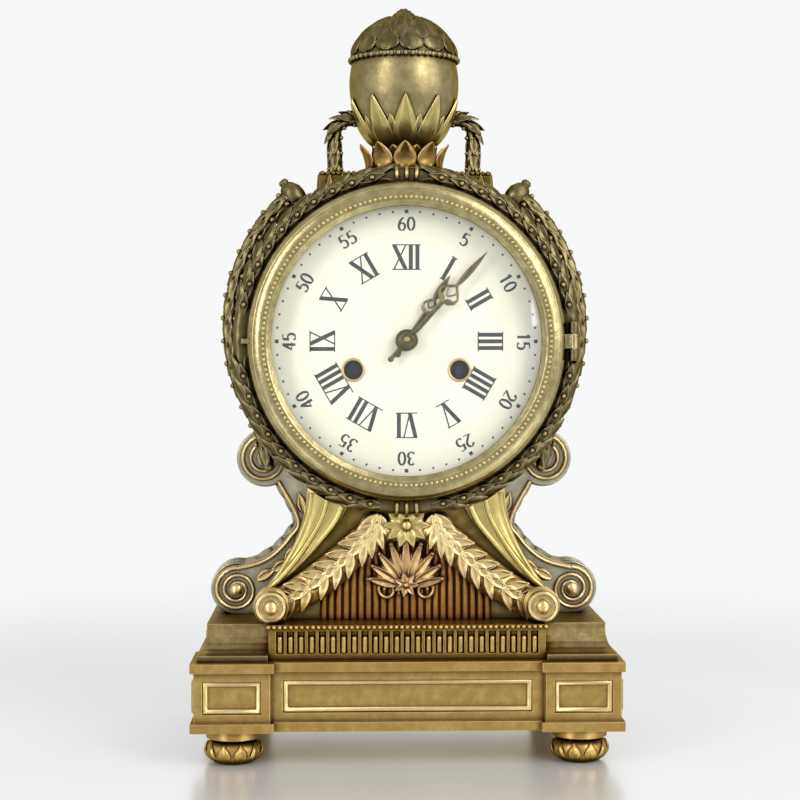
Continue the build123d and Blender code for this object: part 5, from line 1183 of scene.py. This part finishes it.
# Console volutes: a winding line and an eye on each face, with a rim and leaves along the scroll
volutes = Shape()
for y, face in CONSOLE_FACES:
    for side in SIDES:
        for volute in (UPPER_VOLUTE, LOWER_VOLUTE):
            spiral(volutes, volute, y, face, side, *VOLUTE_WINDING)
            x, z, radius = volute
            eye = Vector((side * x, y, z)) + face * VOLUTE_EYE_RISE
            bead(volutes, eye, VOLUTE_EYE, face, VOLUTE_EYE_FLATNESS)
        line = curve(upright([(side * x, z) for x, z in CONSOLE_RIM], y))
        sweep(volutes, line, face, half_round(*CONSOLE_RIM_LINE))
        spine = curve(upright([(side * x, z) for x, z in CONSOLE_SPINE], y))
        for at, along in stations(spine, CONSOLE_LEAF_PITCH)[:-1]:
            flat_leaf(volutes, at, along, face, CONSOLE_LEAF, CONSOLE_LEAF_CURL)
volutes.piece("console_volutes", bright_gilt)

# Console edges: a chain of husks down the outer side of each scroll, and hoops round its rolls
husks = Shape()
for side in SIDES:
    line = curve(upright([(side * x, z) for x, z in CONSOLE_RIM], CONSOLE_MIDDLE_Y))
    steps = stations(line, CONSOLE_STEP)
    edge = [at + FRONT.cross(along) * (side * CONSOLE_RIM_INSET) for at, along in steps]
    for start in range(0, len(edge) - CONSOLE_HUSK_LENGTH, CONSOLE_HUSK_PITCH):
        leaf(husks, edge[start:start + CONSOLE_HUSK_LENGTH], FRONT * side, *CONSOLE_HUSK)
    for x, z, radius in (UPPER_VOLUTE, LOWER_VOLUTE):
        for y in VOLUTE_HOOPS_Y:
            hoop(husks, (side * x, y, z), FRONT, radius + CONSOLE_RIM_INSET, VOLUTE_HOOP)
husks.piece("console_husks", pale_gilt)


# Plinth: framed panels all round
def picture_frame(shape, place, size, profile):
    """Mitred moulding round a panel, from (inset, height) points"""
    corners = ((-1, -1), (1, -1), (1, 1), (-1, 1))
    rings = []
    for inset, height in profile:
        half_x = size[0] / 2 - inset
        half_z = size[1] / 2 - inset
        rings.append([(half_x * sx, -height, half_z * sz) for sx, sz in corners])
    shape.loft(rings, place, loop=True)


mouldings = Shape()
for degrees, (x, y), width in PANELS:
    place = Matrix.Translation((x, y, PANEL_Z)) @ Matrix.Rotation(math.radians(degrees), 4, "Z")
    picture_frame(mouldings, place, (width, PANEL_HEIGHT), PANEL_PROFILE)
mouldings.piece("plinth_mouldings", bright_gilt)

# Frieze: a cable in the foot of each flute and a line of pearls along the top
cables = Shape()
low, high = CABLE_Z
for i in range(FLUTES):
    x = (i - (FLUTES - 1) / 2) * FLUTE_PITCH
    y = frieze_low.y + CABLE_RADIUS * CABLE_SINK
    sweep(cables, upright([(x, low), (x, (low + high) / 2), (x, high)], y), FRONT, rod(CABLE_RADIUS))
    bead(cables, Vector((x, y, high)), CABLE_RADIUS, UP)
pearl_count = round(2 * frieze_high.x / (PEARL_RADIUS * PEARL_PITCH))
for i in range(pearl_count + 1):
    x = frieze_low.x + 2 * frieze_high.x * i / pearl_count
    bead(cables, Vector((x, frieze_low.y, frieze_high.z - PEARL_DROP)), PEARL_RADIUS)
cables.piece("frieze_cables", honey_gilt)

# Feet: leaves that clasp each turned foot
cuffs = Shape()
for at in FEET_AT:
    for i in range(FOOT_LEAVES):
        meridian_leaf(cuffs, FOOT_LEAF, 360 * i / FOOT_LEAVES, *FOOT_LEAF_SIZE, at)
cuffs.piece("foot_leaves", honey_gilt)


# Stage: a pale glossy floor that fades into a white background
def floor():
    """Round disc that is clear at its edge"""
    mesh = bpy.data.meshes.new("floor")
    edge = [(FLOOR_RADIUS * math.cos(a), FLOOR_RADIUS * math.sin(a), 0) for a in circle(FLOOR_SIDES)]
    mesh.from_pydata(edge, [], [range(FLOOR_SIDES)])
    look = Look("floor", Roughness=0.25, Metallic=0.42)
    look.feed("Base Color", look.ramp(look.noise(8), (0.3, (0.89, 0.90, 0.90)), (0.7, (0.93, 0.94, 0.94))))
    distance = look.node("VectorMath", {0: look.place}, operation="LENGTH").outputs["Value"]
    links = {"Value": distance, "From Min": FLOOR_FADE, "From Max": FLOOR_RADIUS * FLOOR_CLEAR}
    look.see_through(look.node("MapRange", links, interpolation_type="SMOOTHSTEP").outputs["Result"])
    mesh.materials.append(look.material)
    disc = bpy.data.objects.new("floor", mesh)
    bpy.context.scene.collection.objects.link(disc)


def world():
    """White to the camera and to mirrors, and a softer grey as light"""
    made = bpy.data.worlds.new("studio")
    made.use_nodes = True
    tree = made.node_tree
    tree.nodes.clear()
    path = tree.nodes.new("ShaderNodeLightPath").outputs
    seen = path["Is Camera Ray"]
    for kind in ("Is Glossy Ray", "Is Transmission Ray"):
        either = tree.nodes.new("ShaderNodeMath")
        either.operation = "MAXIMUM"
        tree.links.new(seen, either.inputs[0])
        tree.links.new(path[kind], either.inputs[1])
        seen = either.outputs[0]
    mix = tree.nodes.new("ShaderNodeMixShader")
    tree.links.new(seen, mix.inputs[0])
    for i, (colour, strength) in enumerate((WORLD_LIGHT, WORLD_SEEN), start=1):
        background = tree.nodes.new("ShaderNodeBackground")
        background.inputs["Color"].default_value = (*colour, 1)
        background.inputs["Strength"].default_value = strength
        tree.links.new(background.outputs["Background"], mix.inputs[i])
    output = tree.nodes.new("ShaderNodeOutputWorld")
    tree.links.new(mix.outputs["Shader"], output.inputs["Surface"])
    bpy.context.scene.world = made


def lamp(name, at, size, power):
    """Rectangular lamp that faces the clock"""
    data = bpy.data.lights.new(name, "AREA")
    data.shape = "RECTANGLE"
    data.size, data.size_y = size
    data.energy = power
    made = bpy.data.objects.new(name, data)
    made.location = at
    made.rotation_euler = (Vector(LAMP_AIM) - Vector(at)).to_track_quat("-Z", "Y").to_euler()
    bpy.context.scene.collection.objects.link(made)


floor()
world()
for row in LAMPS:
    lamp(*row)

# Camera at the photograph's angle
camera = bpy.data.objects.new("camera", bpy.data.cameras.new("camera"))
camera.data.sensor_width = CAMERA_SENSOR
camera.data.lens = CAMERA_LENS
camera.location = CAMERA_AT
camera.rotation_euler = (math.radians(90 - CAMERA_TILT), 0, math.radians(-CAMERA_TURN))
bpy.context.scene.collection.objects.link(camera)
bpy.context.scene.camera = camera
bpy.context.scene.view_settings.view_transform = "Standard"
